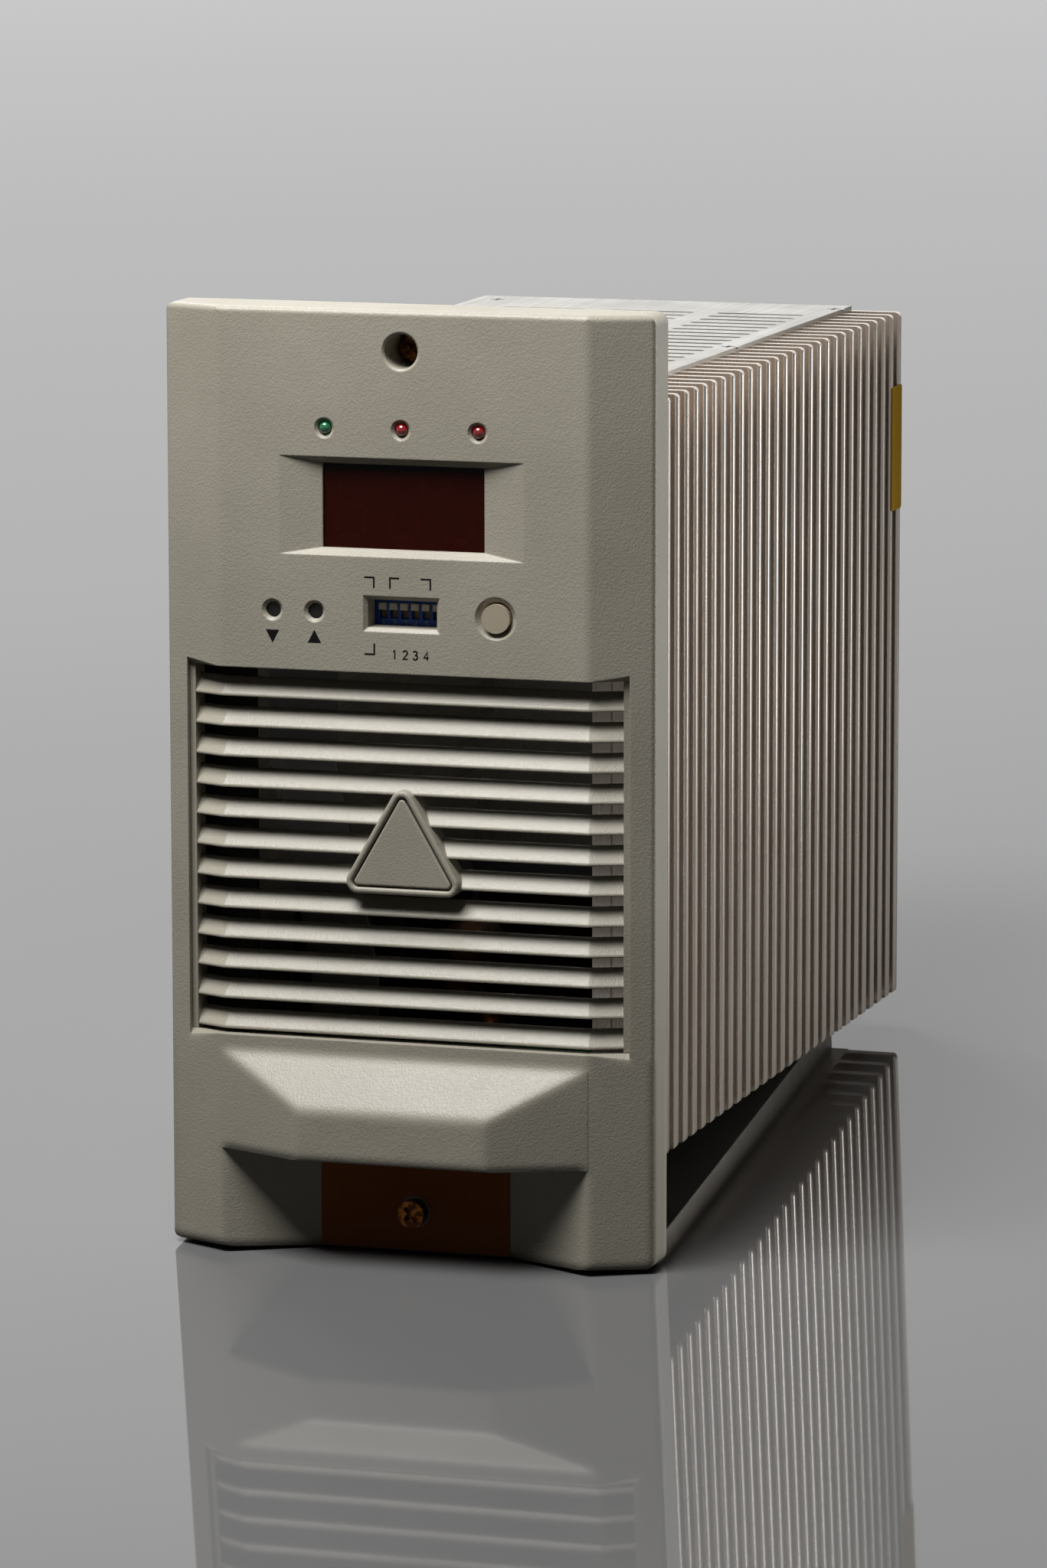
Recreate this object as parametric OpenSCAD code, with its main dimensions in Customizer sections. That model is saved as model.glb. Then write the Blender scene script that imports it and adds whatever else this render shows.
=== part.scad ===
// Plug-in power module: moulded front panel, sheet-metal chassis and a side heat sink.
// X runs to the right of the front, Y runs from the front to the back, Z runs up.
// The origin is the middle of the underside of the whole module. All sizes are millimetres.

/* [Front panel] */
// Width of the moulded panel
panel_w = 115; // [105:0.5:125]
// Height of the moulded panel
panel_h = 215.5; // [200:0.5:240]
// Depth from the flat front to the rear rim
panel_d = 15.2; // [15:0.1:18]
// Width of each bevel beside the flat middle
bevel_w = 14; // [12:0.5:16]
// How far the bevels fall back at the sides
bevel_d = 5.6; // [4:0.1:7]
// Thickness of the moulded walls
wall = 2.4; // [2:0.1:2.6]
// Radius of the four corners seen from the front
corner_r = 2.5; // [1:0.1:5]
// Radius of the outer edges
edge_r = 1.4; // [0.6:0.1:2]
// Radius of the crease between the flat and each bevel
crease_r = 6; // [2:0.5:12]

/* [Handle] */
// How far the grip stands out from the flat front
handle_out = 9.1; // [7:0.1:11]
// Width of the grip's front face
handle_w = 44.4; // [40:0.2:50]
// Height at which the grip's slope leaves the flat front
handle_top = 46; // [44:0.2:47]
// Height of the grip's underside
handle_z = 23.2; // [21:0.2:25]
// Height of the grip's front face
nose_h = 11.6; // [9:0.2:14]
// Radius of the soft edges of the grip
nose_r = 3.2; // [1:0.1:4]
// Wall of the hollow grip
grip_wall = 3.2; // [2.6:0.1:4]
// Depth of the finger recess behind the flat front
recess_d = 8.5; // [7:0.1:9]
// Width of the back wall of the finger recess
recess_w = 45.4; // [40:0.2:50]

/* [Louvre grille] */
// Spacing of the slats
slat_pitch = 6.95; // [6.4:0.05:7.2]
// Side of the panel left beside the grille opening
grille_side = 5.3; // [5:0.1:7]
// Distance from the panel's upper end down to the grille opening
grille_drop = 81.5; // [79:0.1:83]
// Height of the sill under the grille
grille_z = 49.6; // [48:0.1:52]
// How far the opening's edges are cut back where they end on the bevels
scoop = 1.3; // [0.5:0.1:1.6]
// Room between the sill and the lowest slat
sill_gap = 0.9; // [0.5:0.1:1.5]
// How far the slat lips lie behind the panel's face
slat_set = 1.6; // [1:0.1:2]
// How far each slat runs back into the panel
slat_run = 3.2; // [2.6:0.1:3.6]
// How far each slat falls from back to front
slat_drop = 3.7; // [3:0.1:4]
// Height of the upright lip of each slat
slat_lip = 0.6; // [0.4:0.1:1]
// Radius of the lower edge of each slat's lip
lip_r = 0.25; // [0.1:0.05:0.3]
// Radius between each slat's lip and its slope
brow_r = 0.7; // [0.2:0.1:0.8]
// Upright thickness of each slat
slat_t = 1.8; // [1.4:0.1:2.2]
// Thickness of the grille's end cheeks and flange
grille_t = 1.6; // [1.2:0.1:2]
// How far the grille's flange laps behind the panel
grille_lap = 3; // [2:0.1:4]

/* [Badge] */
// Side of the triangle through the centres of the badge's corners
badge_side = 21; // [16:0.5:24]
// How far the lower corner centres lie under the grille's middle
badge_drop = 5.3; // [2:0.1:12]
// Corner radius of the badge's raised rim
badge_rim_r = 2.75; // [2:0.05:3.5]
// Corner radius of the plate set in the badge
badge_plate_r = 0.85; // [0.5:0.05:1.2]
// Groove between the rim and the plate
badge_groove = 0.45; // [0.3:0.05:0.7]
// Thickness of the badge plate
badge_t = 1.3; // [1:0.1:1.8]

/* [Display] */
// Distance from the panel's upper end down to the middle of the display
display_drop = 44.3; // [42:0.1:46]
// Width of the display window
window_w = 38; // [34:0.1:40]
// Height of the display window
window_h = 19; // [17:0.1:20]
// Width of the sloped surround
bezel_w = 57.4; // [54:0.1:62]
// Height of the sloped surround
bezel_h = 22.2; // [21:0.1:23]
// Depth of the sloped surround
bezel_d = 1.8; // [1:0.1:1.8]
// Thickness of the red filter
filter_t = 1.5; // [1:0.1:2]
// Margin by which the filter laps behind the window
filter_lap = 1.8; // [1:0.1:2.4]
// Thickness of the digit block
display_t = 8; // [6:0.1:9]

/* [Lamps] */
// Distance from the panel's upper end down to the row of lamps
led_drop = 26.8; // [25:0.1:28]
// Spacing of the lamps
led_pitch = 18; // [16:0.1:20]
// Diameter of each lamp
led_dia = 3; // [2.8:0.1:3.2]
// Length of each lamp behind its dome
led_len = 4.3; // [3.6:0.1:5]
// How far each dome stands out from the flat front
led_out = 0.3; // [0:0.1:0.6]
// Diameter of the countersink round each lamp
led_sink_dia = 4.7; // [4.2:0.1:5]

/* [Keys and button] */
// Distance from the panel's upper end down to the row of controls
row_drop = 68.2; // [67.5:0.1:69]
// Middle of the two small keys, left of centre
key_x = 25.5; // [24:0.1:27]
// Spacing of the two small keys
key_pitch = 10; // [9:0.1:11]
// Diameter of each small key
key_dia = 3; // [2.6:0.1:3.2]
// Depth of the small keys below the flat front
key_sunk = 1.2; // [0.8:0.1:1.6]
// Travel of the small keys
key_travel = 0.4; // [0.2:0.05:0.6]
// Diameter of the countersink round each small key
key_sink_dia = 5; // [4.6:0.1:5.6]
// Middle of the round button, right of centre
button_x = 22.1; // [21:0.1:23]
// Diameter of the round button
button_dia = 6.6; // [6:0.1:7.2]
// How far the round button stands out
button_out = 0.2; // [0:0.1:1]
// Travel of the round button
button_travel = 1; // [0.5:0.1:1.2]
// Diameter of the dish round the button
dish_dia = 9.7; // [9:0.1:11]
// Clearance round the keys and the button
key_gap = 0.25; // [0.2:0.05:0.4]
// Side of each square switch body
switch_w = 6; // [5.6:0.1:6.4]
// Thickness of each switch body
switch_t = 3.5; // [3.2:0.1:3.8]
// Diameter of the round button's stem
stem_dia = 3.2; // [2.8:0.1:3.6]

/* [Option switch] */
// Spacing of the sliders
dip_pitch = 2.54; // [2.4:0.01:2.54]
// Height of the option switch's body
dip_h = 9.6; // [9:0.1:10]
// Thickness of the option switch's body
dip_t = 5.4; // [5:0.1:6]
// Width of each slider
slider_w = 1.7; // [1.5:0.05:1.8]
// Height of each slider
slider_h = 1.5; // [1.2:0.05:1.8]
// How far each slider stands out of the body
slider_out = 0.9; // [0.6:0.05:1.1]
// Travel of each slider
slider_travel = 2; // [1.5:0.1:2.2]
// Clearance round each slider
slider_gap = 0.12; // [0.08:0.01:0.16]
// Width of the opening in front of the option switch
tunnel_w = 16.2; // [15.6:0.1:17]
// Height of the opening in front of the option switch
tunnel_h = 6.3; // [5.8:0.1:6.8]
// Slope round that opening
tunnel_slope = 0.9; // [0.5:0.05:1.2]

/* [Captive screws] */
// Distance of each captive screw from the panel's end
screw_inset = 9.2; // [8.6:0.1:9.6]
// Diameter of the captive screws
screw_dia = 4; // [3.5:0.1:4.2]
// Diameter of their heads
screw_head_dia = 6.2; // [5.6:0.1:6.6]
// Height of their heads
screw_head_h = 3.2; // [2.4:0.1:3.6]
// How far the lower one reaches behind the panel's rim
screw_reach = 8.5; // [6:0.5:12]
// Clearance hole over the screw diameter
screw_slack = 0.5; // [0.3:0.1:0.8]
// Diameter of the pocket over the upper screw
pocket_dia = 7.8; // [7.4:0.1:8.4]
// Thickness of the retaining rings
ring_t = 0.7; // [0.5:0.1:0.9]
// Play between a captive screw and its seat
screw_play = 0.3; // [0.2:0.05:0.4]

/* [Heat sink] */
// Number of fins
fin_n = 28; // [24:1:32]
// Spacing of the fins
fin_pitch = 7.56; // [6.5:0.02:8]
// Thickness of each fin
fin_t = 2.2; // [1.6:0.1:2.8]
// Length of each fin
fin_l = 13.2; // [11:0.1:15]
// Thickness of the heat sink's base
base_t = 4.3; // [4.2:0.1:6]
// How far the fin tips lie inside the panel's side
tip_inset = 0.5; // [0:0.1:2]
// Length of base beyond the first and last fin
base_margin = 0.7; // [0.2:0.1:2]

/* [Chassis] */
// How far the top of the cover lies under the panel's upper end
top_step = 18.5; // [17:0.1:21]
// Height of the chassis floor over the panel's lower end
tray_z = 16; // [15:0.1:17]
// Height of the heat sink over the underside of the chassis
sink_lift = 7.8; // [6:0.1:9]
// How far the left wall lies inside the panel's side
left_inset = 5.5; // [4:0.1:7]
// Thickness of the chassis sheet
sheet = 1.2; // [1:0.1:1.5]
// Thickness of the front plate
plate_t = 1.5; // [1.2:0.1:1.8]
// Thickness of the top cover
cover_t = 1; // [0.8:0.1:1.5]
// Width of the folded flanges
flange_w = 12; // [10:0.5:14]
// Height of the upstand beside the heat sink
upstand_h = 18; // [16:0.5:20]
// Width of each vent slot
vent_w = 2.4; // [1.6:0.1:3.5]
// Spacing of the vent slots along the cover
vent_pitch = 8; // [6:0.5:10]
// Solid strip between the three columns of slots
vent_web = 6; // [4:0.5:9]
// Solid strip beside the outer columns
vent_side = 0.8; // [0.5:0.1:3]
// Solid border at the cover's front and back
vent_border = 22; // [18:0.5:30]

/* [Fasteners] */
// Diameter of the chassis screws
bolt_dia = 3; // [2.6:0.1:3]
// Diameter of the small board screws
tack_dia = 2.2; // [2:0.1:2.4]
// Clearance of every hole round its screw
bolt_gap = 0.06; // [0.04:0.01:0.1]
// Height of the screw heads
head_h = 1.5; // [1.2:0.1:1.6]

/* [Inner works] */
// Thickness of the circuit boards
board_t = 1.6; // [1.2:0.1:1.6]
// Height of the main board over the chassis floor
standoff_h = 6; // [5:0.5:8]
// Diameter of the standoffs
standoff_dia = 6; // [5.6:0.2:7]
// Room between the main board and the front, left and back of the chassis
board_room = 4; // [3:0.5:6]
// Room between the main board and the upstand
board_edge = 1; // [0.5:0.1:1.5]
// Diameter of the reservoir capacitors
can_dia = 25; // [20:0.5:26]
// Height of the reservoir capacitors
can_h = 45; // [30:1:60]
// Width of the transformer core
core_w = 44; // [40:0.5:46]
// Depth of the transformer core
core_d = 22; // [18:0.5:26]
// Height of the transformer core
core_h = 44; // [40:0.5:50]
// Thickness of the transformer core's yokes and outer legs
core_leg = 7; // [6:0.2:8]
// Mean radius of the choke's ring
choke_r = 13; // [11:0.2:15]
// Radius of the choke's ring section
choke_section = 5; // [4:0.1:6]
// Thickness of the choke's winding
choke_wire = 1.8; // [1:0.1:2]
// Width of each power transistor
device_w = 16; // [14:0.1:16]
// Height of each power transistor
device_h = 20; // [18:0.1:22]
// Thickness of each power transistor
device_t = 5; // [4:0.1:5.4]
// Spacing of the power transistors
device_pitch = 36; // [30:0.5:40]
// Height of the transistors over the main board
device_lift = 14; // [10:0.5:18]
// Thickness of the insulating pads
pad_t = 0.4; // [0.2:0.05:0.6]
// Thickness of the clamp bar
clamp_t = 3; // [2:0.1:4]
// Width of the rear connector
plug_w = 70; // [60:0.5:74]
// Height of the rear connector
plug_h = 24; // [20:0.5:28]
// How far the rear connector stands out
plug_out = 12; // [8:0.5:16]
// Wall of the rear connector's shroud
plug_wall = 2; // [1.6:0.1:2.4]
// Width of the ribbon cable
ribbon_w = 16; // [12:0.5:20]
// Thickness of the ribbon cable
ribbon_t = 0.9; // [0.7:0.1:1.2]

/* [Hidden] */
$fn = 48;

// Shape of every screw head: shares of its own diameter and height
head_ratio = 1.8;
head_taper = 0.8;
cross_l = 0.66;
cross_w = 0.17;
cross_deep = 0.55;

// Colours of the finishes
pebble = "#a3a094";
zinc = "#c8c6bf";
black = "#26282a";

// Steps in each rounded corner of an outline, and an overlap that makes cuts go right through
arc_steps = 6;
small_steps = 3;
over = 1;
// Room left between flat parts that are slipped together
slip = 0.05;

// Levels from front to back
bevel_a = atan2(bevel_d, bevel_w);
lower_seat = recess_d;
upper_seat = panel_d - wall;
shank_l = panel_d + screw_reach - recess_d;
board_y = wall + filter_t + display_t + slip;
board_back = board_y + board_t;
plate_back = panel_d + plate_t;
sink_len = (fin_n - 1) * fin_pitch + fin_t + 2 * base_margin;
back_y = plate_back + sink_len;
y_shift = (handle_out - back_y - plug_out) / 2;

// Levels from bottom to top
slat_n = floor((panel_h - grille_drop - grille_z - sill_gap) / slat_pitch);
grille_top = grille_z + sill_gap + slat_n * slat_pitch;
badge_z = (grille_z + grille_top) / 2 - badge_drop;
badge_corners = [
    [-badge_side / 2, badge_z],
    [badge_side / 2, badge_z],
    [0, badge_z + badge_side * sin(60)]
];
display_z = panel_h - display_drop;
led_z = panel_h - led_drop;
row_z = panel_h - row_drop;
floor_top = tray_z + sheet;
sink_z = tray_z + sink_lift;
cover_top = panel_h - top_step;
sink_top = cover_top - cover_t;
upper_z = panel_h - screw_inset;
lower_z = screw_inset;
main_z = floor_top + standoff_h;
main_top = main_z + board_t;

// Places from left to right
flat_w = panel_w - 2 * bevel_w;
grille_w = panel_w - 2 * grille_side;
plate_left = wall + slip - panel_w / 2;
left_x = left_inset - panel_w / 2;
inner_left = left_x + sheet;
base_out = panel_w / 2 - tip_inset - fin_l;
base_in = base_out - base_t;
base_mid = (base_in + base_out) / 2;
upstand_x = base_in - sheet;

// Bosses that carry the front plate, and the holes in it
boss_r = 3.5;
boss_room = 1;
boss_inset = 5.5;
boss_drop = 31;
bolt_rise = 8;
bolt_drop = 18;
plate_boss_x = [left_x + boss_inset, base_in - boss_inset];
plate_boss_z = [handle_z + wall + boss_r + boss_room, sink_top - boss_drop];
plate_bolt_z = [sink_z + bolt_rise, sink_top - bolt_drop];

// Control board and its bosses
key_margin = 12;
button_margin = 9;
dip_margin = 4;
led_margin = 7;
board_left = -key_x - key_pitch / 2 - key_margin;
board_right = button_x + button_margin;
board_low = row_z - dip_h / 2 - dip_margin;
board_high = led_z + led_margin;
tack_inset = 3.2;
tack_boss_r = 2.6;
tack_x = [board_left + tack_inset, board_right - tack_inset];
tack_z = [board_low + tack_inset, board_high - tack_inset];
tack_bite = 6;
socket_d = 5;
socket_h = 6;

// Groove and ring of the captive screws
groove_depth = 0.4;
ring_lip = 1.5;
groove_dia = screw_dia - 2 * groove_depth;
ring_dia = screw_dia + 2 * ring_lip;
pocket_sink = 0.5;

// Foot of each lamp, which stands on its spacer
led_lip = 0.4;
led_foot_dia = led_dia + 2 * led_lip;
led_foot_t = 1;
led_dome_y = led_dia / 2 - led_out;
led_foot_y = led_dome_y + led_len;

// Stems of the keys and the button, and the collar that keeps the button in
stem_bite = 1;
collar_t = 1;
collar_lip = 0.7;

// Option switch
dip_n = 6;
dip_end = 0.8;
dip_w = dip_n * dip_pitch + 2 * dip_end;
dip_face = board_y - dip_t;
slider_rest = slider_travel / 2;
slot_depth = 1.6;
slot_h = slider_travel + slider_h + 2 * slider_gap;

// Main board and its fixings, which stand clear of the rear connector
plug_inside = 18;
plug_front = back_y - sheet - plug_inside;
main_front = plate_back + flange_w + board_room;
main_back = back_y - board_room;
main_left = inner_left + board_room;
main_right = upstand_x - board_edge;
stud_inset = 5;
stud_x = [main_left + stud_inset, main_right - stud_inset];
stud_y = [main_front + stud_inset, plug_front - stud_inset];

// Power transistors along the heat sink
leg_w = 1.2;
pad_margin = 1;
clamp_h = 8;
device_x = base_in - pad_t - device_t;
device_z = main_top + device_lift;
device_mid = (main_front + main_back) / 2;
device_y = [for (i = [-1.5:1:1.5]) device_mid + i * device_pitch];
clamp_y = [for (i = [-1:1]) device_mid + i * device_pitch];
clamp_z = device_z + device_h / 2;

// Tall pieces on the main board: a row of cans on the left, the upright choke beside them
// and the transformer behind them
can_n = 3;
can_gap = 3;
can_edge = 1;
can_x = main_left + can_edge + can_dia / 2;
can_y = main_front + 2 * socket_d + can_gap + can_dia / 2;
can_end = can_y + (can_n - 0.5) * can_dia + (can_n - 1) * can_gap;
choke_out = choke_section + choke_wire;
choke_x = can_x + can_dia / 2 + can_gap + choke_out;
choke_y = can_y + can_dia;
choke_z = main_top + choke_r + choke_out;
core_window = (core_w - 4 * core_leg) / 2;
work_x = (main_left + device_x - clamp_t - head_h) / 2;
core_y = can_end + can_gap + core_window + core_d / 2;

// Rounding of each fin's tip as a share of its thickness
tip_round = 0.35;

// Fixings of the sheet parts, and how far the screws reach into bosses and into the heat sink
bolt_bite = 7;
base_left = 1.2;
base_bite = base_t - base_left;
cover_inset = 9;
cover_bolt_y = [panel_d + cover_inset, (panel_d + back_y) / 2, back_y - cover_inset];
sink_bolt_z = (sink_z + tray_z + upstand_h) / 2;
rear_inset = 40;
rear_bolt_z = [floor_top + rear_inset, sink_top - rear_inset];
flange_inset = 20;
flange_bolt_x = [inner_left + flange_inset, upstand_x - flange_inset];

// Rear connector
plug_x = (main_left + main_right) / 2;
plug_z = main_top + plug_h / 2;
blade_dia = 3;
blade_pitch = 11.5;
blade_x = [for (i = [-2:2]) plug_x + i * blade_pitch];

// Ribbon cable
ribbon_x = board_left + ribbon_w;
ribbon_y = main_front + socket_d;
ribbon_bend = 0.25;

function unit(v) = v / norm(v);

// Points of the arc that rounds corner q between its neighbours p and n
function corner_arc(p, q, n, r, steps) =
    r == 0 ? [q] :
    let (
        u = unit(p - q),
        v = unit(n - q),
        half = acos(u * v) / 2,
        centre = q + unit(u + v) * r / sin(half),
        a = q + u * r / tan(half) - centre,
        b = q + v * r / tan(half) - centre,
        sweep = 180 - 2 * half
    )
    [for (i = [0:steps])
        let (s = i / steps)
        centre + (a * sin((1 - s) * sweep) + b * sin(s * sweep)) / sin(sweep)];

// Closed outline with each corner rounded to its own radius
function rounded(points, radii, steps = arc_steps) =
    let (n = len(points))
    [for (i = [0:n - 1])
        each corner_arc(points[(i + n - 1) % n], points[i], points[(i + 1) % n], radii[i], steps)];

// Cross-section of the panel seen from above, moved inwards by a depth
function plan_line(depth, back) =
    let (
        side = panel_w / 2 - depth,
        shoulder = bevel_d + depth * tan((90 - bevel_a) / 2),
        crease = flat_w / 2 - depth * tan(bevel_a / 2)
    )
    [[-side, back], [-side, shoulder], [-crease, depth], [crease, depth], [side, shoulder], [side, back]];

// Everything is drawn from the flat front and then moved to the module's own origin
module placed() {
    translate([0, y_shift, 0]) children();
}

module along_x(from, to) {
    translate([from, 0, 0]) rotate([90, 0, 90]) linear_extrude(to - from) children();
}

module along_y(from, to) {
    translate([0, to, 0]) rotate([90, 0, 0]) linear_extrude(to - from) children();
}

module along_z(from, to) {
    translate([0, 0, from]) linear_extrude(to - from) children();
}

module block(x, y, z) {
    translate([x[0], y[0], z[0]]) cube([x[1] - x[0], y[1] - y[0], z[1] - z[0]]);
}

module rod_x(y, z, dia, from, to) {
    translate([from, y, z]) rotate([0, 90, 0]) cylinder(d = dia, h = to - from);
}

module rod_y(x, z, dia, from, to) {
    translate([x, from, z]) rotate([-90, 0, 0]) cylinder(d = dia, h = to - from);
}

module rod_z(x, y, dia, from, to) {
    translate([x, y, from]) cylinder(d = dia, h = to - from);
}

// Countersink in the flat front, from one diameter at the face to a smaller one
module sink_y(x, z, dia, small) {
    translate([x, 0, z]) rotate([-90, 0, 0]) cylinder(d1 = dia, d2 = small, h = (dia - small) / 2);
}

// Rectangular funnel into the flat front
module funnel(x, z, w, h, small_w, small_h, depth) {
    intersection() {
        along_z(z - h, z + h)
            polygon([[x - w / 2, 0], [x + w / 2, 0], [x + small_w / 2, depth], [x - small_w / 2, depth]]);
        along_x(x - w, x + w)
            polygon([[0, z - h / 2], [depth, z - small_h / 2], [depth, z + small_h / 2], [0, z + h / 2]]);
    }
}

// Hole for a screw
function hole(dia) = dia + 2 * bolt_gap;

// Crossed slot sunk along +Z into the face of a screw head
module cross_slot(dia, deep) {
    for (turn = [0, 90])
        rotate([0, 0, turn])
            translate([-cross_l * dia / 2, -cross_w * dia / 2, -over])
                cube([cross_l * dia, cross_w * dia, over + deep]);
}

// Screw with a crossed pan head: the shank runs from the head's seat along +Z
module bolt(dia, length) {
    head = head_ratio * dia;
    difference() {
        union() {
            cylinder(d = dia, h = length);
            translate([0, 0, -head_h]) cylinder(d1 = head_taper * head, d2 = head, h = head_h);
        }
        translate([0, 0, -head_h]) cross_slot(head, cross_deep * head_h);
    }
}

// Cone of a screw sunk flush into the cover, from the cover's top down
module sunk_head(dia) {
    head = head_ratio * dia;
    cylinder(d1 = head, d2 = max(head - 2 * cover_t, dia), h = cover_t);
}

module sunk_bolt(dia, length) {
    difference() {
        union() {
            cylinder(d = dia, h = length);
            sunk_head(dia);
        }
        cross_slot(head_ratio * dia, cross_deep * cover_t);
    }
}

// Front panel
module edge_prism() {
    along_x(-panel_w, panel_w)
        polygon(rounded([[0, 0], [0, panel_h], [panel_w, panel_h], [panel_w, 0]], [edge_r, edge_r, 0, 0]));
}

module on_bevel() {
    translate([flat_w / 2, 0, 0]) rotate([0, 0, bevel_a]) children();
}

module both_sides() {
    children();
    mirror([1, 0, 0]) children();
}

module panel_block() {
    intersection() {
        along_z(0, panel_h)
            polygon(rounded(plan_line(0, panel_d), [0, edge_r, crease_r, crease_r, edge_r, 0]));
        edge_prism();
        on_bevel() edge_prism();
        mirror([1, 0, 0]) on_bevel() edge_prism();
        along_y(-over, panel_d)
            polygon(rounded(
                [[-panel_w / 2, 0], [-panel_w / 2, panel_h], [panel_w / 2, panel_h], [panel_w / 2, 0]],
                [corner_r, corner_r, corner_r, corner_r]));
    }
}

// Grip that stands out of the flat front, with its slope, front face and side facets
module grip_block() {
    intersection() {
        along_z(0, panel_h)
            polygon(rounded(
                [[-flat_w / 2, wall], [-flat_w / 2, 0], [-handle_w / 2, -handle_out],
                 [handle_w / 2, -handle_out], [flat_w / 2, 0], [flat_w / 2, wall]],
                [0, 0, nose_r, nose_r, 0, 0]));
        along_x(-flat_w, flat_w)
            polygon(rounded(
                [[wall, handle_z], [wall, handle_top], [0, handle_top],
                 [-handle_out, handle_z + nose_h], [-handle_out, handle_z]],
                [0, 0, 0, nose_r, edge_r / 2]));
    }
}

// Space under the grip, or the same space with the moulded wall round it
module recess_block(skin) {
    slope = atan2(recess_d, (flat_w - recess_w) / 2);
    back = recess_d + skin;
    half = recess_w / 2 + skin * tan(slope / 2);
    front = half + (back + handle_out) / tan(slope);
    along_z(-over, handle_z + skin)
        polygon([[-front, -handle_out], [-half, back], [half, back], [front, -handle_out]]);
}

module panel_cavity() {
    difference() {
        union() {
            along_z(wall, panel_h - wall) polygon(plan_line(wall, panel_d + over));
            intersection() {
                translate([0, grip_wall, 0]) grip_block();
                along_z(handle_z + wall, handle_top) square(2 * panel_w, center = true);
            }
        }
        recess_block(wall);
    }
}

module panel_bosses() {
    for (x = plate_boss_x, z = plate_boss_z)
        intersection() {
            rod_y(x, z, 2 * boss_r, -handle_out, panel_d);
            union() {
                panel_block();
                grip_block();
            }
        }
    for (x = tack_x, z = tack_z)
        intersection() {
            rod_y(x, z, 2 * tack_boss_r, 0, board_y);
            panel_block();
        }
    rod_y(0, upper_z, pocket_dia + 2 * wall, wall / 2, panel_d);
    block([-tunnel_w / 2 - grille_t, tunnel_w / 2 + grille_t], [wall / 2, dip_face - slider_out - slip],
        [row_z - tunnel_h / 2 - grille_t, row_z + tunnel_h / 2 + grille_t]);
}

// Cut that widens along a bevel from the crease outwards, at one edge of the grille opening
module scoop_cut() {
    run = (grille_w - flat_w) / 2 / cos(bevel_a);
    climb = atan2(scoop, run);
    lean = atan2(scoop, run * sin(climb));
    intersection() {
        block([0, 2 * run], [-over, 2 * scoop], [-over, 2 * scoop]);
        rotate([0, -climb, 0]) rotate([lean, 0, 0])
            translate([-panel_w, -panel_w, -panel_w]) cube([2 * panel_w, panel_w, 2 * panel_w]);
    }
}

// Those cuts at all four ends of the opening's edges, no wider than the opening
module scoop_cuts() {
    intersection() {
        block([-grille_w / 2, grille_w / 2], [-over, panel_d], [0, panel_h]);
        both_sides()
            on_bevel() {
                translate([0, 0, grille_top]) scoop_cut();
                translate([0, 0, grille_z]) mirror([0, 0, 1]) scoop_cut();
            }
    }
}

module panel_holes() {
    shank_hole = screw_dia + screw_slack;
    block([-grille_w / 2, grille_w / 2], [-over, panel_d + over], [grille_z, grille_top]);
    scoop_cuts();
    rod_y(0, upper_z, pocket_dia, -over, upper_seat);
    sink_y(0, upper_z, pocket_dia + 2 * pocket_sink, pocket_dia);
    for (z = [lower_z, upper_z]) rod_y(0, z, shank_hole, -over, panel_d);
    for (i = [-1:1]) {
        rod_y(i * led_pitch, led_z, led_dia + key_gap, -over, board_y);
        sink_y(i * led_pitch, led_z, led_sink_dia, led_dia);
    }
    funnel(0, display_z, bezel_w, bezel_h, window_w, window_h, bezel_d);
    block([-window_w / 2, window_w / 2], [0, board_y],
        [display_z - window_h / 2, display_z + window_h / 2]);
    for (i = [-1, 1]) {
        rod_y(-key_x + i * key_pitch / 2, row_z, key_dia + 2 * key_gap, -over, board_y);
        sink_y(-key_x + i * key_pitch / 2, row_z, key_sink_dia, key_dia + 2 * key_gap);
    }
    rod_y(button_x, row_z, button_dia + 2 * key_gap, -over, board_y);
    sink_y(button_x, row_z, dish_dia, button_dia + 2 * key_gap);
    funnel(0, row_z, tunnel_w + 2 * tunnel_slope, tunnel_h + 2 * tunnel_slope,
        tunnel_w, tunnel_h, tunnel_slope);
    block([-tunnel_w / 2, tunnel_w / 2], [0, board_y], [row_z - tunnel_h / 2, row_z + tunnel_h / 2]);
    for (x = plate_boss_x, z = plate_boss_z)
        rod_y(x, z, hole(bolt_dia), panel_d - bolt_bite - slip, panel_d + over);
    for (x = tack_x, z = tack_z)
        rod_y(x, z, hole(tack_dia), board_y - tack_bite - slip, board_y + over);
}

module front_panel() {
    color(pebble) placed() difference() {
        union() {
            difference() {
                union() {
                    panel_block();
                    grip_block();
                }
                recess_block(0);
                panel_cavity();
            }
            panel_bosses();
        }
        panel_holes();
    }
}

// Slats, each with an upright lip and a face that slopes back and up
module slat_profiles() {
    for (i = [0:slat_n - 1]) {
        z = grille_z + sill_gap + i * slat_pitch;
        corners = [
            [slat_set, z],
            [slat_set, z + slat_lip],
            [slat_set + slat_run, z + slat_lip + slat_drop],
            [slat_set + slat_run, z + slat_lip + slat_drop - slat_t],
            [slat_set + slat_run * (slat_t - slat_lip) / slat_drop, z]
        ];
        polygon(rounded(corners, [lip_r, brow_r, 0, 0, 0], small_steps));
    }
}

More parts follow.
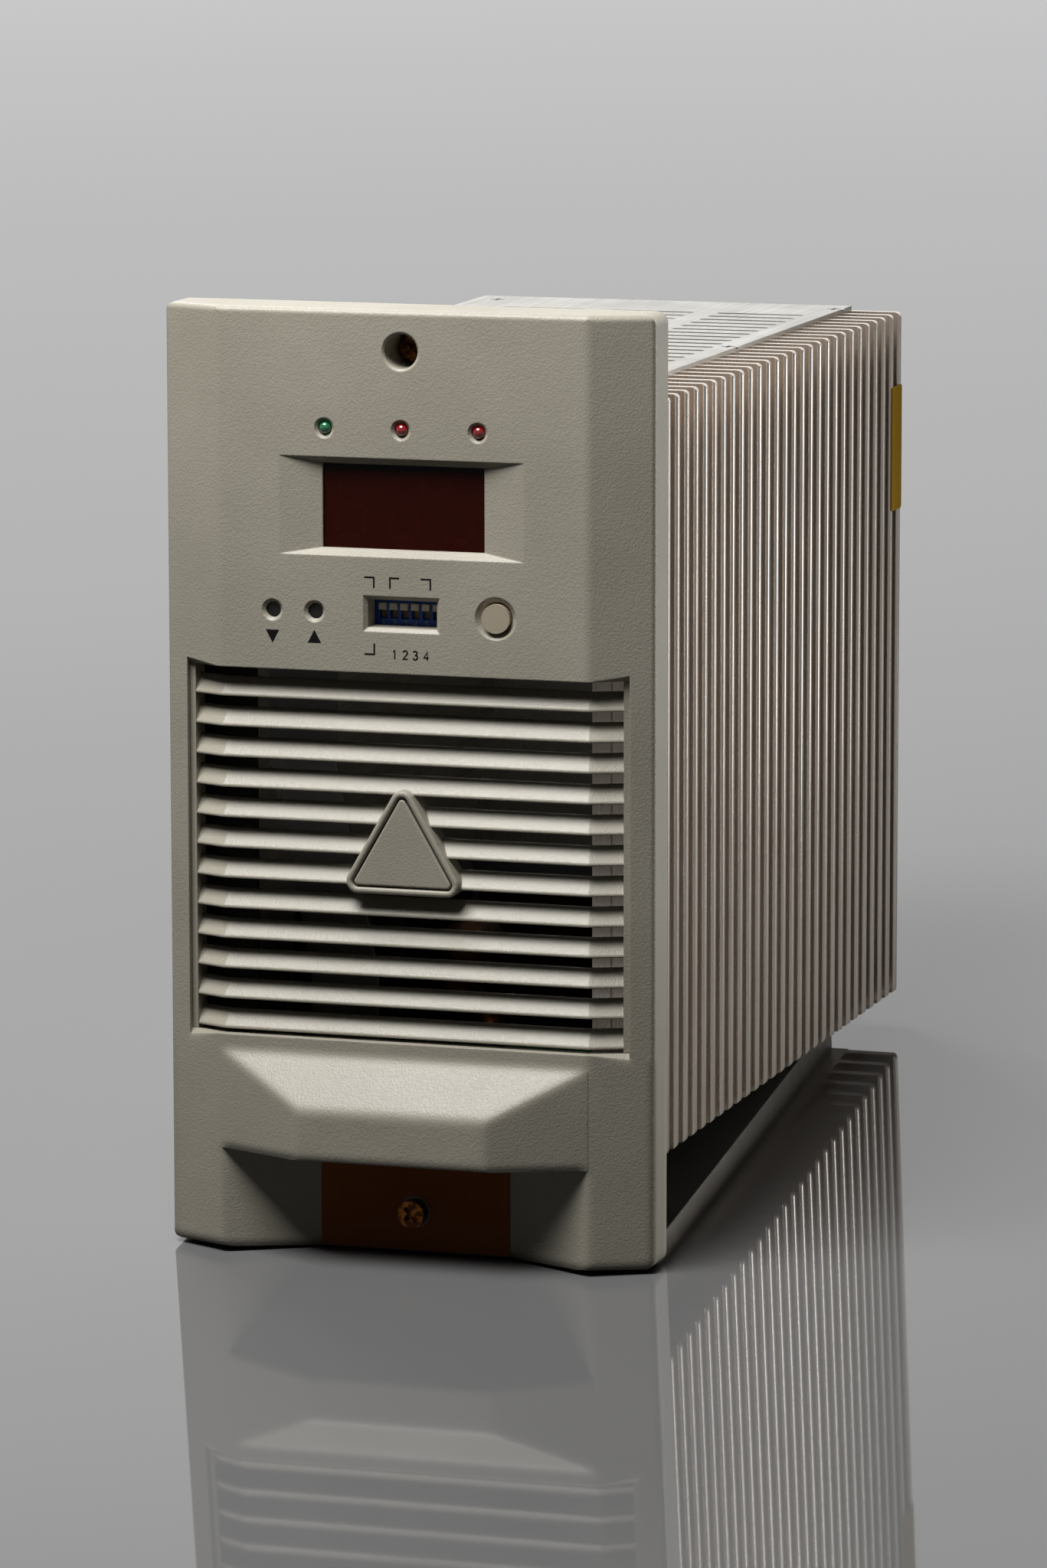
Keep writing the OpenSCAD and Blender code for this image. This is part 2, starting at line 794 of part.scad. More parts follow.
module slats() {
    far = 2 * bevel_d;
    end = grille_w / 2 - slip - grille_t / 2;
    crease = flat_w / 2;
    mitre = crease - far * tan(bevel_a / 2);
    intersection() {
        along_x(-crease, crease) slat_profiles();
        along_z(0, panel_h) polygon([[-crease, 0], [crease, 0], [mitre, far], [-mitre, far]]);
    }
    both_sides()
        intersection() {
            on_bevel() along_x(-crease, crease) slat_profiles();
            along_z(0, panel_h)
                polygon([[crease, 0], [end, (end - crease) * tan(bevel_a)], [end, 2 * far], [mitre, far]]);
        }
}

// Flange behind the panel and end cheeks in the opening
module grille_frame() {
    low = grille_z - grille_lap;
    high = grille_top + grille_lap;
    cheek_out = grille_w / 2 - slip;
    cheek_in = cheek_out - grille_t;
    flange = wall + grille_t;
    intersection() {
        difference() {
            along_z(low, high)
                difference() {
                    polygon(plan_line(wall, panel_d));
                    polygon(plan_line(flange, panel_d + over));
                }
            block([-cheek_in, cheek_in], [-over, panel_d + over], [grille_z, grille_top]);
        }
        block([-cheek_out - grille_lap, cheek_out + grille_lap], [0, bevel_d + 2 * flange], [low, high]);
    }
    both_sides()
        along_z(grille_z + slip, grille_top - slip)
            polygon([
                [cheek_in, (cheek_in - flat_w / 2) * tan(bevel_a) + slat_set],
                [cheek_out, (cheek_out - flat_w / 2) * tan(bevel_a) + slat_set],
                [cheek_out, bevel_d + slat_set + slat_run],
                [cheek_in, bevel_d + slat_set + slat_run]
            ]);
}

// Triangle with rounded corners, with its lower side level
module badge_outline(r) {
    for (c = badge_corners) translate(c) circle(r);
    polygon([
        for (i = [0:2])
            let (a = badge_corners[i], b = badge_corners[(i + 1) % 3], d = unit(b - a))
            each [a + r * [d[1], -d[0]], b + r * [d[1], -d[0]]]
    ]);
}

module louvre_grille() {
    color(pebble) placed() difference() {
        union() {
            slats();
            grille_frame();
            along_y(0, slat_set + slat_run + grille_t) badge_outline(badge_rim_r);
        }
        along_y(-over, badge_t + slip) badge_outline(badge_plate_r + badge_groove);
    }
}

module badge_plate() {
    color(pebble) placed() along_y(slip, badge_t + slip) badge_outline(badge_plate_r);
}

// Display and lamps
module display_filter() {
    color("#2a0806") placed()
        block([-window_w / 2 - filter_lap, window_w / 2 + filter_lap], [wall, wall + filter_t],
            [display_z - window_h / 2 - filter_lap, display_z + window_h / 2 + filter_lap]);
}

module display_block() {
    color(black) placed()
        block([-window_w / 2, window_w / 2], [board_y - display_t, board_y],
            [display_z - window_h / 2, display_z + window_h / 2]);
}

module led(x) {
    rod_y(x, led_z, led_dia, led_dome_y, led_foot_y);
    intersection() {
        translate([x, led_dome_y, led_z]) sphere(d = led_dia);
        rod_y(x, led_z, led_dia, -led_out, led_dome_y);
    }
    rod_y(x, led_z, led_foot_dia, led_foot_y, led_foot_y + led_foot_t);
}

module led_green() {
    color("#1f6b45") placed() led(-led_pitch);
}

module leds_red() {
    color("#8e1a1c") placed() {
        led(0);
        led(led_pitch);
    }
}

module led_spacers() {
    color(black) placed()
        for (i = [-1:1])
            rod_y(i * led_pitch, led_z, led_foot_dia, led_foot_y + led_foot_t, board_y);
}

// Control board with the switches behind the panel
module control_board() {
    color("#2f5c3a") placed() difference() {
        block([board_left, board_right], [board_y, board_back], [board_low, board_high]);
        for (x = tack_x, z = tack_z) rod_y(x, z, hole(tack_dia), 0, panel_d);
        for (x = plate_boss_x, z = plate_boss_z) rod_y(x, z, 2 * (boss_r + boss_room), 0, panel_d);
    }
}

module control_screws() {
    color(zinc) placed()
        for (x = tack_x, z = tack_z)
            translate([x, board_back, z]) rotate([90, 0, 0]) bolt(tack_dia, board_t + tack_bite);
}

module switch_body(x, bore, travel) {
    difference() {
        block([x - switch_w / 2, x + switch_w / 2], [board_y - switch_t, board_y],
            [row_z - switch_w / 2, row_z + switch_w / 2]);
        rod_y(x, row_z, bore, 0, board_y - switch_t + stem_bite + travel + key_gap);
    }
}

module key_switches() {
    color(black) placed()
        for (i = [-1, 1])
            switch_body(-key_x + i * key_pitch / 2, key_dia + 2 * key_gap, key_travel);
}

module button_switch() {
    color(black) placed() switch_body(button_x, stem_dia + 2 * key_gap, button_travel);
}

module small_key(side) {
    rod_y(-key_x + side * key_pitch / 2, row_z, key_dia, key_sunk, board_y - switch_t + stem_bite);
}

module down_key() {
    color(black) placed() small_key(-1);
}

module up_key() {
    color(black) placed() small_key(1);
}

module push_button() {
    collar = wall + key_gap;
    shoulder = board_y - switch_t - button_travel - key_gap;
    color("#b4b1a6") placed() {
        rod_y(button_x, row_z, button_dia, -button_out, shoulder);
        rod_y(button_x, row_z, button_dia + 2 * collar_lip, collar, collar + collar_t);
        rod_y(button_x, row_z, stem_dia, shoulder, board_y - switch_t + stem_bite);
    }
}

// Option switch: a body with one slot for each slider
function slider_x(i) = (i - (dip_n + 1) / 2) * dip_pitch;

module dip_body() {
    color("#24509a") placed() difference() {
        block([-dip_w / 2, dip_w / 2], [dip_face, board_y], [row_z - dip_h / 2, row_z + dip_h / 2]);
        for (i = [1:dip_n])
            block([slider_x(i) - slider_w / 2 - slider_gap, slider_x(i) + slider_w / 2 + slider_gap],
                [dip_face - over, dip_face + slot_depth], [row_z - slot_h / 2, row_z + slot_h / 2]);
    }
}

module dip_slider(i) {
    z = row_z + slider_rest;
    color("#d8d6cc") placed()
        block([slider_x(i) - slider_w / 2, slider_x(i) + slider_w / 2],
            [dip_face - slider_out, dip_face + slot_depth - slider_gap],
            [z - slider_h / 2, z + slider_h / 2]);
}

// Captive screws, each held in the panel by a ring in a groove
module captive_screw(z, seat) {
    under = seat - screw_play;
    tip = seat + shank_l;
    groove = seat + wall + screw_play;
    color("#b08d4a") placed() difference() {
        union() {
            rod_y(0, z, screw_head_dia, under - screw_head_h, under);
            rod_y(0, z, screw_dia, under, tip);
        }
        difference() {
            rod_y(0, z, 2 * screw_dia, groove, groove + ring_t);
            rod_y(0, z, groove_dia, 0, tip);
        }
        translate([0, under - screw_head_h, z]) rotate([-90, 45, 0])
            cross_slot(screw_head_dia, cross_deep * screw_head_h);
    }
}

module retaining_ring(z, seat) {
    groove = seat + wall + screw_play;
    color(zinc) placed() difference() {
        rod_y(0, z, ring_dia, groove + slip, groove + ring_t - slip);
        rod_y(0, z, groove_dia + 2 * slip, 0, seat + shank_l);
    }
}

// Front plate of the chassis, open behind the grille
module front_plate() {
    color(zinc) placed() difference() {
        union() {
            block([plate_left, base_out], [panel_d, plate_back], [tray_z, sink_top]);
            block([inner_left + slip, upstand_x - slip], [plate_back - over, plate_back + flange_w],
                [floor_top, floor_top + sheet]);
        }
        block([left_x + flange_w, base_out + over], [0, back_y],
            [grille_z - grille_lap, grille_top + grille_lap]);
        for (x = plate_boss_x, z = plate_boss_z) rod_y(x, z, hole(bolt_dia), 0, back_y);
        for (z = plate_bolt_z) rod_y(base_mid, z, hole(bolt_dia), 0, back_y);
        for (x = flange_bolt_x) rod_z(x, plate_back + flange_w / 2, hole(bolt_dia), 0, panel_h);
    }
}

module panel_screws() {
    color(zinc) placed()
        for (x = plate_boss_x, z = plate_boss_z)
            translate([x, plate_back, z]) rotate([90, 0, 0]) bolt(bolt_dia, plate_t + bolt_bite);
}

module plate_screws() {
    color(zinc) placed() {
        for (z = plate_bolt_z)
            translate([base_mid, panel_d, z]) rotate([-90, 0, 0]) bolt(bolt_dia, plate_t + bolt_bite);
        for (x = flange_bolt_x)
            translate([x, plate_back + flange_w / 2, floor_top + sheet]) rotate([180, 0, 0])
                bolt(bolt_dia, 2 * sheet);
    }
}

// Finned heat sink that forms the right side of the chassis
module fin(i) {
    y = plate_back + base_margin + i * fin_pitch;
    tip = base_out + fin_l;
    root = base_out - base_t / 2;
    r = tip_round * fin_t;
    polygon(rounded([[root, y], [tip, y], [tip, y + fin_t], [root, y + fin_t]], [0, r, r, 0]));
}

module heat_sink() {
    tip = base_out + fin_l;
    color("#b6afa6") placed() difference() {
        intersection() {
            along_z(sink_z, sink_top) {
                translate([base_in, plate_back]) square([base_t, sink_len]);
                for (i = [0:fin_n - 1]) fin(i);
            }
            along_y(plate_back - over, back_y + over)
                polygon(rounded([[base_in, sink_z], [base_in, sink_top], [tip, sink_top], [tip, sink_z]],
                    [0, 0, edge_r, edge_r]));
        }
        for (z = plate_bolt_z)
            rod_y(base_mid, z, hole(bolt_dia), panel_d, plate_back + bolt_bite + slip);
        for (y = cover_bolt_y)
            rod_z(base_mid, y, hole(bolt_dia), sink_top - bolt_bite - slip, sink_top + over);
        for (y = clamp_y, z = [sink_bolt_z, clamp_z])
            rod_x(y, z, hole(bolt_dia), base_in - over, base_in + base_bite + slip);
    }
}

// Folded tray: floor, left wall with its top flange, and the upstand beside the heat sink
module chassis_tray() {
    color(zinc) placed() difference() {
        along_y(plate_back, back_y)
            polygon([
                [left_x, tray_z], [base_in, tray_z], [base_in, tray_z + upstand_h],
                [upstand_x, tray_z + upstand_h], [upstand_x, floor_top], [inner_left, floor_top],
                [inner_left, sink_top - sheet], [left_x + flange_w, sink_top - sheet],
                [left_x + flange_w, sink_top], [left_x, sink_top]
            ]);
        block([inner_left, base_in + over], [back_y - sheet, back_y + over], [floor_top, panel_h]);
        for (y = clamp_y) rod_x(y, sink_bolt_z, hole(bolt_dia), upstand_x - over, base_in + over);
        for (y = cover_bolt_y)
            rod_z(left_x + flange_w / 2, y, hole(bolt_dia), sink_top - 2 * sheet, sink_top + over);
        for (z = rear_bolt_z)
            rod_x(back_y - flange_w / 2, z, hole(bolt_dia), left_x - over, inner_left + over);
        for (x = flange_bolt_x, y = [plate_back + flange_w / 2, back_y - flange_w / 2])
            rod_z(x, y, hole(bolt_dia), 0, floor_top + over);
        for (x = stud_x, y = stud_y) rod_z(x, y, hole(bolt_dia), 0, floor_top + over);
    }
}

module sink_screws() {
    color(zinc) placed()
        for (y = clamp_y)
            translate([upstand_x, y, sink_bolt_z]) rotate([0, 90, 0]) bolt(bolt_dia, sheet + base_bite);
}

// Top cover with three columns of vent slots
module top_cover() {
    vent_from = panel_d + vent_border;
    vent_rows = floor((back_y - vent_border - vent_from) / vent_pitch);
    middle = (left_x + flange_w + base_in) / 2;
    vent_room = base_in - left_x - flange_w - 2 * vent_side;
    vent_l = (vent_room - 2 * vent_web) / 3;
    color("#cfccc2") placed() difference() {
        block([left_x, base_out], [panel_d, back_y], [sink_top, cover_top]);
        for (i = [0:vent_rows], c = [-1:1])
            translate([middle + c * (vent_l + vent_web), vent_from + i * vent_pitch, sink_top - over])
                linear_extrude(cover_t + 2 * over) {
                    square([vent_l - vent_w, vent_w], center = true);
                    for (s = [-1, 1]) translate([s * (vent_l - vent_w) / 2, 0]) circle(d = vent_w);
                }
        for (x = [base_mid, left_x + flange_w / 2], y = cover_bolt_y) {
            rod_z(x, y, hole(bolt_dia), 0, panel_h);
            translate([x, y, cover_top]) rotate([180, 0, 0]) sunk_head(bolt_dia);
        }
    }
}

module cover_screws() {
    color(zinc) placed()
        for (y = cover_bolt_y) {
            translate([base_mid, y, cover_top]) rotate([180, 0, 0])
                sunk_bolt(bolt_dia, cover_t + bolt_bite);
            translate([left_x + flange_w / 2, y, cover_top]) rotate([180, 0, 0])
                sunk_bolt(bolt_dia, cover_t + sheet);
        }
}

// Rear panel with flanges on the floor and on the left wall, and the connector's opening
module rear_panel() {
    color(zinc) placed() difference() {
        union() {
            block([inner_left, base_in], [back_y - sheet, back_y], [floor_top, sink_top]);
            block([inner_left, upstand_x - slip], [back_y - flange_w, back_y - sheet / 2],
                [floor_top, floor_top + sheet]);
            block([inner_left, inner_left + sheet], [back_y - flange_w, back_y - sheet / 2],
                [floor_top, sink_top - sheet - slip]);
        }
        block([plug_x - plug_w / 2 - slip, plug_x + plug_w / 2 + slip], [back_y - 2 * sheet, back_y + over],
            [main_top - slip, main_top + plug_h + slip]);
        for (z = rear_bolt_z)
            rod_x(back_y - flange_w / 2, z, hole(bolt_dia), left_x, inner_left + 2 * sheet);
        for (x = flange_bolt_x) rod_z(x, back_y - flange_w / 2, hole(bolt_dia), 0, main_z);
    }
}

module rear_screws() {
    color(zinc) placed() {
        for (z = rear_bolt_z)
            translate([left_x, back_y - flange_w / 2, z]) rotate([0, 90, 0]) bolt(bolt_dia, 2 * sheet);
        for (x = flange_bolt_x)
            translate([x, back_y - flange_w / 2, floor_top + sheet]) rotate([180, 0, 0])
                bolt(bolt_dia, 2 * sheet);
    }
}

// Main board and what stands on it
module main_board() {
    color("#2f5c3a") placed() difference() {
        block([main_left, main_right], [main_front, main_back], [main_z, main_top]);
        for (x = stud_x, y = stud_y) rod_z(x, y, hole(bolt_dia), 0, panel_h);
    }
}

module standoffs() {
    color("#c9a24b") placed()
        for (x = stud_x, y = stud_y)
            difference() {
                translate([x, y, floor_top]) cylinder(d = standoff_dia, h = standoff_h, $fn = 6);
                rod_z(x, y, hole(bolt_dia), 0, panel_h);
            }
}

module board_screws() {
    color(zinc) placed()
        for (x = stud_x, y = stud_y)
            translate([x, y, main_top]) rotate([180, 0, 0]) bolt(bolt_dia, board_t + standoff_h + sheet);
}

module capacitors() {
    color("#2b3b55") placed()
        for (i = [0:can_n - 1])
            rod_z(can_x, can_y + i * (can_dia + can_gap), can_dia, main_top, main_top + can_h);
}

module transformer_core() {
    color("#3a3b3d") placed() difference() {
        block([work_x - core_w / 2, work_x + core_w / 2], [core_y - core_d / 2, core_y + core_d / 2],
            [main_top, main_top + core_h]);
        for (x = [work_x - core_leg - core_window, work_x + core_leg])
            block([x, x + core_window], [core_y - core_d, core_y + core_d],
                [main_top + core_leg, main_top + core_h - core_leg]);
    }
}

module transformer_winding() {
    inner_x = core_leg + slip;
    inner_y = core_d / 2 + slip;
    turns = core_window - 2 * slip;
    color("#b9873c") placed()
        translate([work_x, core_y, main_top + core_leg + slip])
            linear_extrude(core_h - 2 * core_leg - 2 * slip)
                difference() {
                    square([2 * (inner_x + turns), 2 * (inner_y + turns)], center = true);
                    square([2 * inner_x, 2 * inner_y], center = true);
                }
}

module choke_core() {
    color("#6d6f4a") placed()
        translate([choke_x, choke_y, choke_z]) rotate([0, 90, 0])
            rotate_extrude() translate([choke_r, 0]) circle(choke_section - slip);
}

module choke_winding() {
    color("#b06f35") placed()
        translate([choke_x, choke_y, choke_z]) rotate([0, 90, 0])
            rotate_extrude() translate([choke_r, 0]) difference() {
                circle(choke_out);
                circle(choke_section);
            }
}

module power_transistors() {
    leg_x = device_x + device_t / 2;
    color(black) placed()
        for (y = device_y) {
            block([device_x, device_x + device_t], [y - device_w / 2, y + device_w / 2],
                [device_z, device_z + device_h]);
            for (leg_y = [y - device_w / 3, y, y + device_w / 3])
                block([leg_x - leg_w / 2, leg_x + leg_w / 2], [leg_y - leg_w / 2, leg_y + leg_w / 2],
                    [main_top, device_z]);
        }
}

module insulating_pads() {
    color("#c7c4b8") placed()
        for (y = device_y)
            block([base_in - pad_t, base_in],
                [y - device_w / 2 - pad_margin, y + device_w / 2 + pad_margin],
                [device_z - pad_margin, device_z + device_h + pad_margin]);
}

module clamp_bar() {
    reach = 1.5 * device_pitch + device_w / 2;
    color(zinc) placed() difference() {
        block([device_x - clamp_t, device_x], [device_mid - reach, device_mid + reach],
            [clamp_z - clamp_h / 2, clamp_z + clamp_h / 2]);
        for (y = clamp_y) rod_x(y, clamp_z, hole(bolt_dia), 0, base_out);
    }
}

module clamp_screws() {
    color(zinc) placed()
        for (y = clamp_y)
            translate([device_x - clamp_t, y, clamp_z]) rotate([0, 90, 0])
                bolt(bolt_dia, clamp_t + device_t + pad_t + base_bite);
}

// Rear connector that stands on the main board and reaches through the rear panel
module rear_connector() {
    color(black) placed() difference() {
        block([plug_x - plug_w / 2, plug_x + plug_w / 2], [plug_front, back_y + plug_out],
            [main_top, main_top + plug_h]);
        block([plug_x - plug_w / 2 + plug_wall, plug_x + plug_w / 2 - plug_wall],
            [back_y - sheet, back_y + plug_out + over],
            [main_top + plug_wall, main_top + plug_h - plug_wall]);
        for (x = blade_x) rod_y(x, plug_z, blade_dia + 2 * slip, plug_front - over, back_y);
    }
}

module connector_blades() {
    color("#c9a24b") placed()
        for (x = blade_x) rod_y(x, plug_z, blade_dia, plug_front, back_y + plug_out - plug_wall);
}

// Ribbon cable from the control board down to the main board, with a socket at each end
module ribbon_cable() {
    top = [board_y - socket_d / 2, board_low];
    low = [ribbon_y, main_top + socket_h];
    bend = ribbon_bend * (top[1] - low[1]);
    half = [ribbon_t / 2, 0];
    path = [top, top - [0, bend], low + [0, bend], low];
    color("#9a9a9a") placed()
        along_x(ribbon_x - ribbon_w / 2, ribbon_x + ribbon_w / 2)
            polygon([for (p = path) p + half, for (i = [3:-1:0]) path[i] - half]);
}

module ribbon_sockets() {
    color(black) placed() {
        block([ribbon_x - ribbon_w / 2, ribbon_x + ribbon_w / 2], [board_y - socket_d, board_y],
            [board_low, board_low + socket_h / 2]);
        block([ribbon_x - ribbon_w / 2, ribbon_x + ribbon_w / 2], [main_front, main_front + 2 * socket_d],
            [main_top, main_top + socket_h]);
    }
}

front_panel();
louvre_grille();
badge_plate();
display_filter();
display_block();
led_green();
leds_red();
led_spacers();
control_board();
control_screws();
key_switches();
button_switch();
down_key();
up_key();
push_button();
dip_body();
dip_slider(1);  // dip_slider_1
dip_slider(2);  // dip_slider_2
dip_slider(3);  // dip_slider_3
dip_slider(4);  // dip_slider_4
dip_slider(5);  // dip_slider_5
dip_slider(6);  // dip_slider_6
captive_screw(upper_z, upper_seat);  // captive_screw_upper
captive_screw(lower_z, lower_seat);  // captive_screw_lower
retaining_ring(upper_z, upper_seat);  // retaining_ring_upper
retaining_ring(lower_z, lower_seat);  // retaining_ring_lower
front_plate();
panel_screws();
plate_screws();
heat_sink();
chassis_tray();
sink_screws();
top_cover();
cover_screws();
rear_panel();
rear_screws();
main_board();
standoffs();
board_screws();
capacitors();
transformer_core();
transformer_winding();
choke_core();
choke_winding();
power_transistors();
insulating_pads();
clamp_bar();
clamp_screws();
rear_connector();
connector_blades();
ribbon_cable();
ribbon_sockets();
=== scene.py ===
"""Looks of a plug-in power module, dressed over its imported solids.

The frame is the one of the solids: X to the right, Y to the back, Z up. Sizes and places of pieces are in millimetres,
those of floor, lamps and camera in metres.
"""
import math

import bpy
import numpy as np
from mathutils import Matrix, Vector


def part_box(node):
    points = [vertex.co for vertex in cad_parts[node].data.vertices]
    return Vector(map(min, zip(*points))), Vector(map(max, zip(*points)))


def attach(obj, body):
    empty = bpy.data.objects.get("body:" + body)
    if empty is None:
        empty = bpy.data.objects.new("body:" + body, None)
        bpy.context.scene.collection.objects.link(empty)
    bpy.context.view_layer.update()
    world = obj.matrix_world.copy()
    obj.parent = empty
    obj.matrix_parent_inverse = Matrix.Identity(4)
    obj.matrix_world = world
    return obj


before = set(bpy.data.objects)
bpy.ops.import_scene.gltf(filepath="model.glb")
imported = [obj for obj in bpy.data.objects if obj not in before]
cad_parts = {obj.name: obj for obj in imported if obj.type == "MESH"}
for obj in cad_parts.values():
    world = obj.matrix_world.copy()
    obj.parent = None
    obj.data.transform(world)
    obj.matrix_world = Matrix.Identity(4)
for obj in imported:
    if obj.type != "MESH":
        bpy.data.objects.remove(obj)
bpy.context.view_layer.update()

# Chassis tray with floor and left wall, rear panel, and the bar that clamps the transistors.
# Zinc-coated steel sheet, sheared and folded; screws hold it to the heat sink and the front plate.
mm = 0.001


def linear(code):
    """Turns an sRGB hex colour into linear red, green, blue and alpha: a channel's share of 255 is divided by 12.92
    near black, and is otherwise shifted, scaled and raised to the power 2.4."""
    srgb = np.array([int(code[i:i + 2], 16) for i in (1, 3, 5)]) / 255
    rgb = np.where(srgb <= 0.04045, srgb / 12.92, ((srgb + 0.055) / 1.055) ** 2.4)
    return (*rgb.tolist(), 1.0)


def add(owner, kind, links=None, **settings):
    """Adds a node with its settings to a material or the world; each link gives an input a constant or the output
    of another node."""
    made = owner.node_tree.nodes.new(kind)
    for name, value in settings.items():
        setattr(made, name, value)
    for name, value in (links or {}).items():
        if isinstance(value, bpy.types.NodeSocket):
            owner.node_tree.links.new(value, made.inputs[name])
        else:
            made.inputs[name].default_value = value
    return made


def blank(name):
    """A material with no nodes yet."""
    material = bpy.data.materials.new(name)
    material.use_nodes = True
    material.node_tree.nodes.clear()
    return material


def dress(material, *names):
    """Gives CAD nodes or new pieces one material."""
    for name in names:
        mesh = bpy.data.objects[name].data
        mesh.materials.clear()
        mesh.materials.append(material)


def rolled(name, light, dark, roughness, line_mm, run_mm, axis, relief_mm=0.05, gloss_span=0.07):
    """Rolled, drawn or turned metal: noise is stretched into lines, line_mm apart and run_mm long along one axis.
    Lines times slow patches of noise give the tone. The lines alone give the relief, and a roughness that swings
    by gloss_span to either side."""
    patch_mm = 18
    tone_range = (0.12, 0.4)
    line_range = (0.3, 0.7)
    relief_strength = 0.25
    metal = blank(name)
    place = add(metal, "ShaderNodeTexCoord")
    stretch = [1 / (line_mm * mm)] * 3
    stretch["XYZ".index(axis)] = 1 / (run_mm * mm)
    along = add(metal, "ShaderNodeMapping", {"Vector": place.outputs["Object"], "Scale": stretch})
    lines = add(metal, "ShaderNodeTexNoise", {"Vector": along.outputs[0], "Scale": 1.0, "Detail": 3.0})
    patch = add(metal, "ShaderNodeTexNoise",
                {"Vector": place.outputs["Object"], "Scale": 1 / (patch_mm * mm), "Detail": 2.0})
    blend = add(metal, "ShaderNodeMath", {0: lines.outputs["Fac"], 1: patch.outputs["Fac"]},
                operation="MULTIPLY")
    spread = add(metal, "ShaderNodeMapRange",
                 {"Value": blend.outputs[0], "From Min": tone_range[0], "From Max": tone_range[1]})
    tone = add(metal, "ShaderNodeMix", {0: spread.outputs[0], 6: linear(dark), 7: linear(light)},
               data_type="RGBA")
    gloss = add(metal, "ShaderNodeMapRange",
                {"Value": lines.outputs["Fac"], "From Min": line_range[0], "From Max": line_range[1],
                 "To Min": roughness + gloss_span, "To Max": roughness - gloss_span})
    relief = add(metal, "ShaderNodeBump",
                 {"Height": lines.outputs["Fac"], "Strength": relief_strength, "Distance": relief_mm * mm})
    shader = add(metal, "ShaderNodeBsdfPrincipled",
                 {"Base Color": tone.outputs[2], "Metallic": 1.0, "Roughness": gloss.outputs[0],
                  "Normal": relief.outputs[0]})
    add(metal, "ShaderNodeOutputMaterial", {"Surface": shader.outputs[0]})
    return metal


# Soft grey zinc with faint rolling lines from front to back, drawn coarser, 0.6 mm apart, so that they show.
zinc_sheet = rolled("zinc_coated_steel_sheet", "#C2BFB7", "#ADA9A1",
                    roughness=0.5, line_mm=0.6, run_mm=40, axis="Y")
dress(zinc_sheet, "chassis_tray", "rear_panel", "clamp_bar")

# Front plate that joins the housing and the moulded panel.
# Steel sheet, punched, zinc-coated and screwed to heat sink, tray and panel.
# Painted shade: dull and nearly black, standing for the shade behind the louvre gaps.
# Upright rolling lines are drawn coarser so that they show.
shade_black_zinc = rolled("zinc_sheet_painted_shade_black", "#2B2A28", "#1F1E1C",
                   roughness=0.55, line_mm=0.6, run_mm=40, axis="Z")
dress(shade_black_zinc, "front_plate")

# Heat sink with upright fins that forms the right side.
# Natural extruded aluminium, cut to length, so fine die lines run up every fin; it stiffens and closes that side.
# Warm grey bare metal, satin, with die lines drawn coarser, 0.5 mm apart, so that they show.
extruded_aluminium = rolled("natural_extruded_aluminium", "#EEE4DA", "#E5DACE",
                            roughness=0.27, line_mm=0.5, run_mm=250, axis="Z", relief_mm=0.003, gloss_span=0.02)
dress(extruded_aluminium, "heat_sink")


# Main board on the tray's floor and control board behind the panel.
# Glass-epoxy laminate under green solder resist; both are held by screws.
def moulded(name, colour, shade, roughness, grain_mm, relief_mm, specular=0.5):
    """Moulded, cast or coated surface: noise of one grain gives the relief and a roughness that swings by gloss_span
    to either side. Half of the grain, added to slow patches of noise, gives the tone."""
    patch_mm = 25
    grain_share = 0.5
    tone_range = (0.5, 1.0)
    grain_range = (0.3, 0.7)
    gloss_span = 0.06
    relief_strength = 0.5
    plastic = blank(name)
    place = add(plastic, "ShaderNodeTexCoord")
    grain = add(plastic, "ShaderNodeTexNoise",
                {"Vector": place.outputs["Object"], "Scale": 1 / (grain_mm * mm), "Detail": 2.0})
    patch = add(plastic, "ShaderNodeTexNoise",
                {"Vector": place.outputs["Object"], "Scale": 1 / (patch_mm * mm), "Detail": 3.0})
    weigh = add(plastic, "ShaderNodeMath",
                {0: grain.outputs["Fac"], 1: grain_share, 2: patch.outputs["Fac"]}, operation="MULTIPLY_ADD")
    spread = add(plastic, "ShaderNodeMapRange",
                 {"Value": weigh.outputs[0], "From Min": tone_range[0], "From Max": tone_range[1]})
    tone = add(plastic, "ShaderNodeMix", {0: spread.outputs[0], 6: linear(shade), 7: linear(colour)},
               data_type="RGBA")
    gloss = add(plastic, "ShaderNodeMapRange",
                {"Value": grain.outputs["Fac"], "From Min": grain_range[0], "From Max": grain_range[1],
                 "To Min": roughness - gloss_span, "To Max": roughness + gloss_span})
    relief = add(plastic, "ShaderNodeBump",
                 {"Height": grain.outputs["Fac"], "Strength": relief_strength, "Distance": relief_mm * mm})
    shader = add(plastic, "ShaderNodeBsdfPrincipled",
                 {"Base Color": tone.outputs[2], "Roughness": gloss.outputs[0], "IOR": 1.5,
                  "Specular IOR Level": specular, "Normal": relief.outputs[0]})
    add(plastic, "ShaderNodeOutputMaterial", {"Surface": shader.outputs[0]})
    return plastic


# Deep green resist with a soft shine.
solder_resist = moulded("green_solder_resist_laminate", "#1D5A33", "#164A2A",
                        roughness=0.32, grain_mm=1.2, relief_mm=0.02)
dress(solder_resist, "main_board", "control_board")

# Standoffs under the main board and the blades of the rear connector.
# Brass, turned from bar; the standoffs are screwed on, the blades are pressed into their block.
# Warm yellow metal with turning lines drawn coarser, 0.5 mm apart, so that they show.
turned_brass = rolled("turned_brass", "#D9B56A", "#B08A45", roughness=0.28, line_mm=0.5, run_mm=20, axis="X")
dress(turned_brass, "standoffs", "connector_blades")

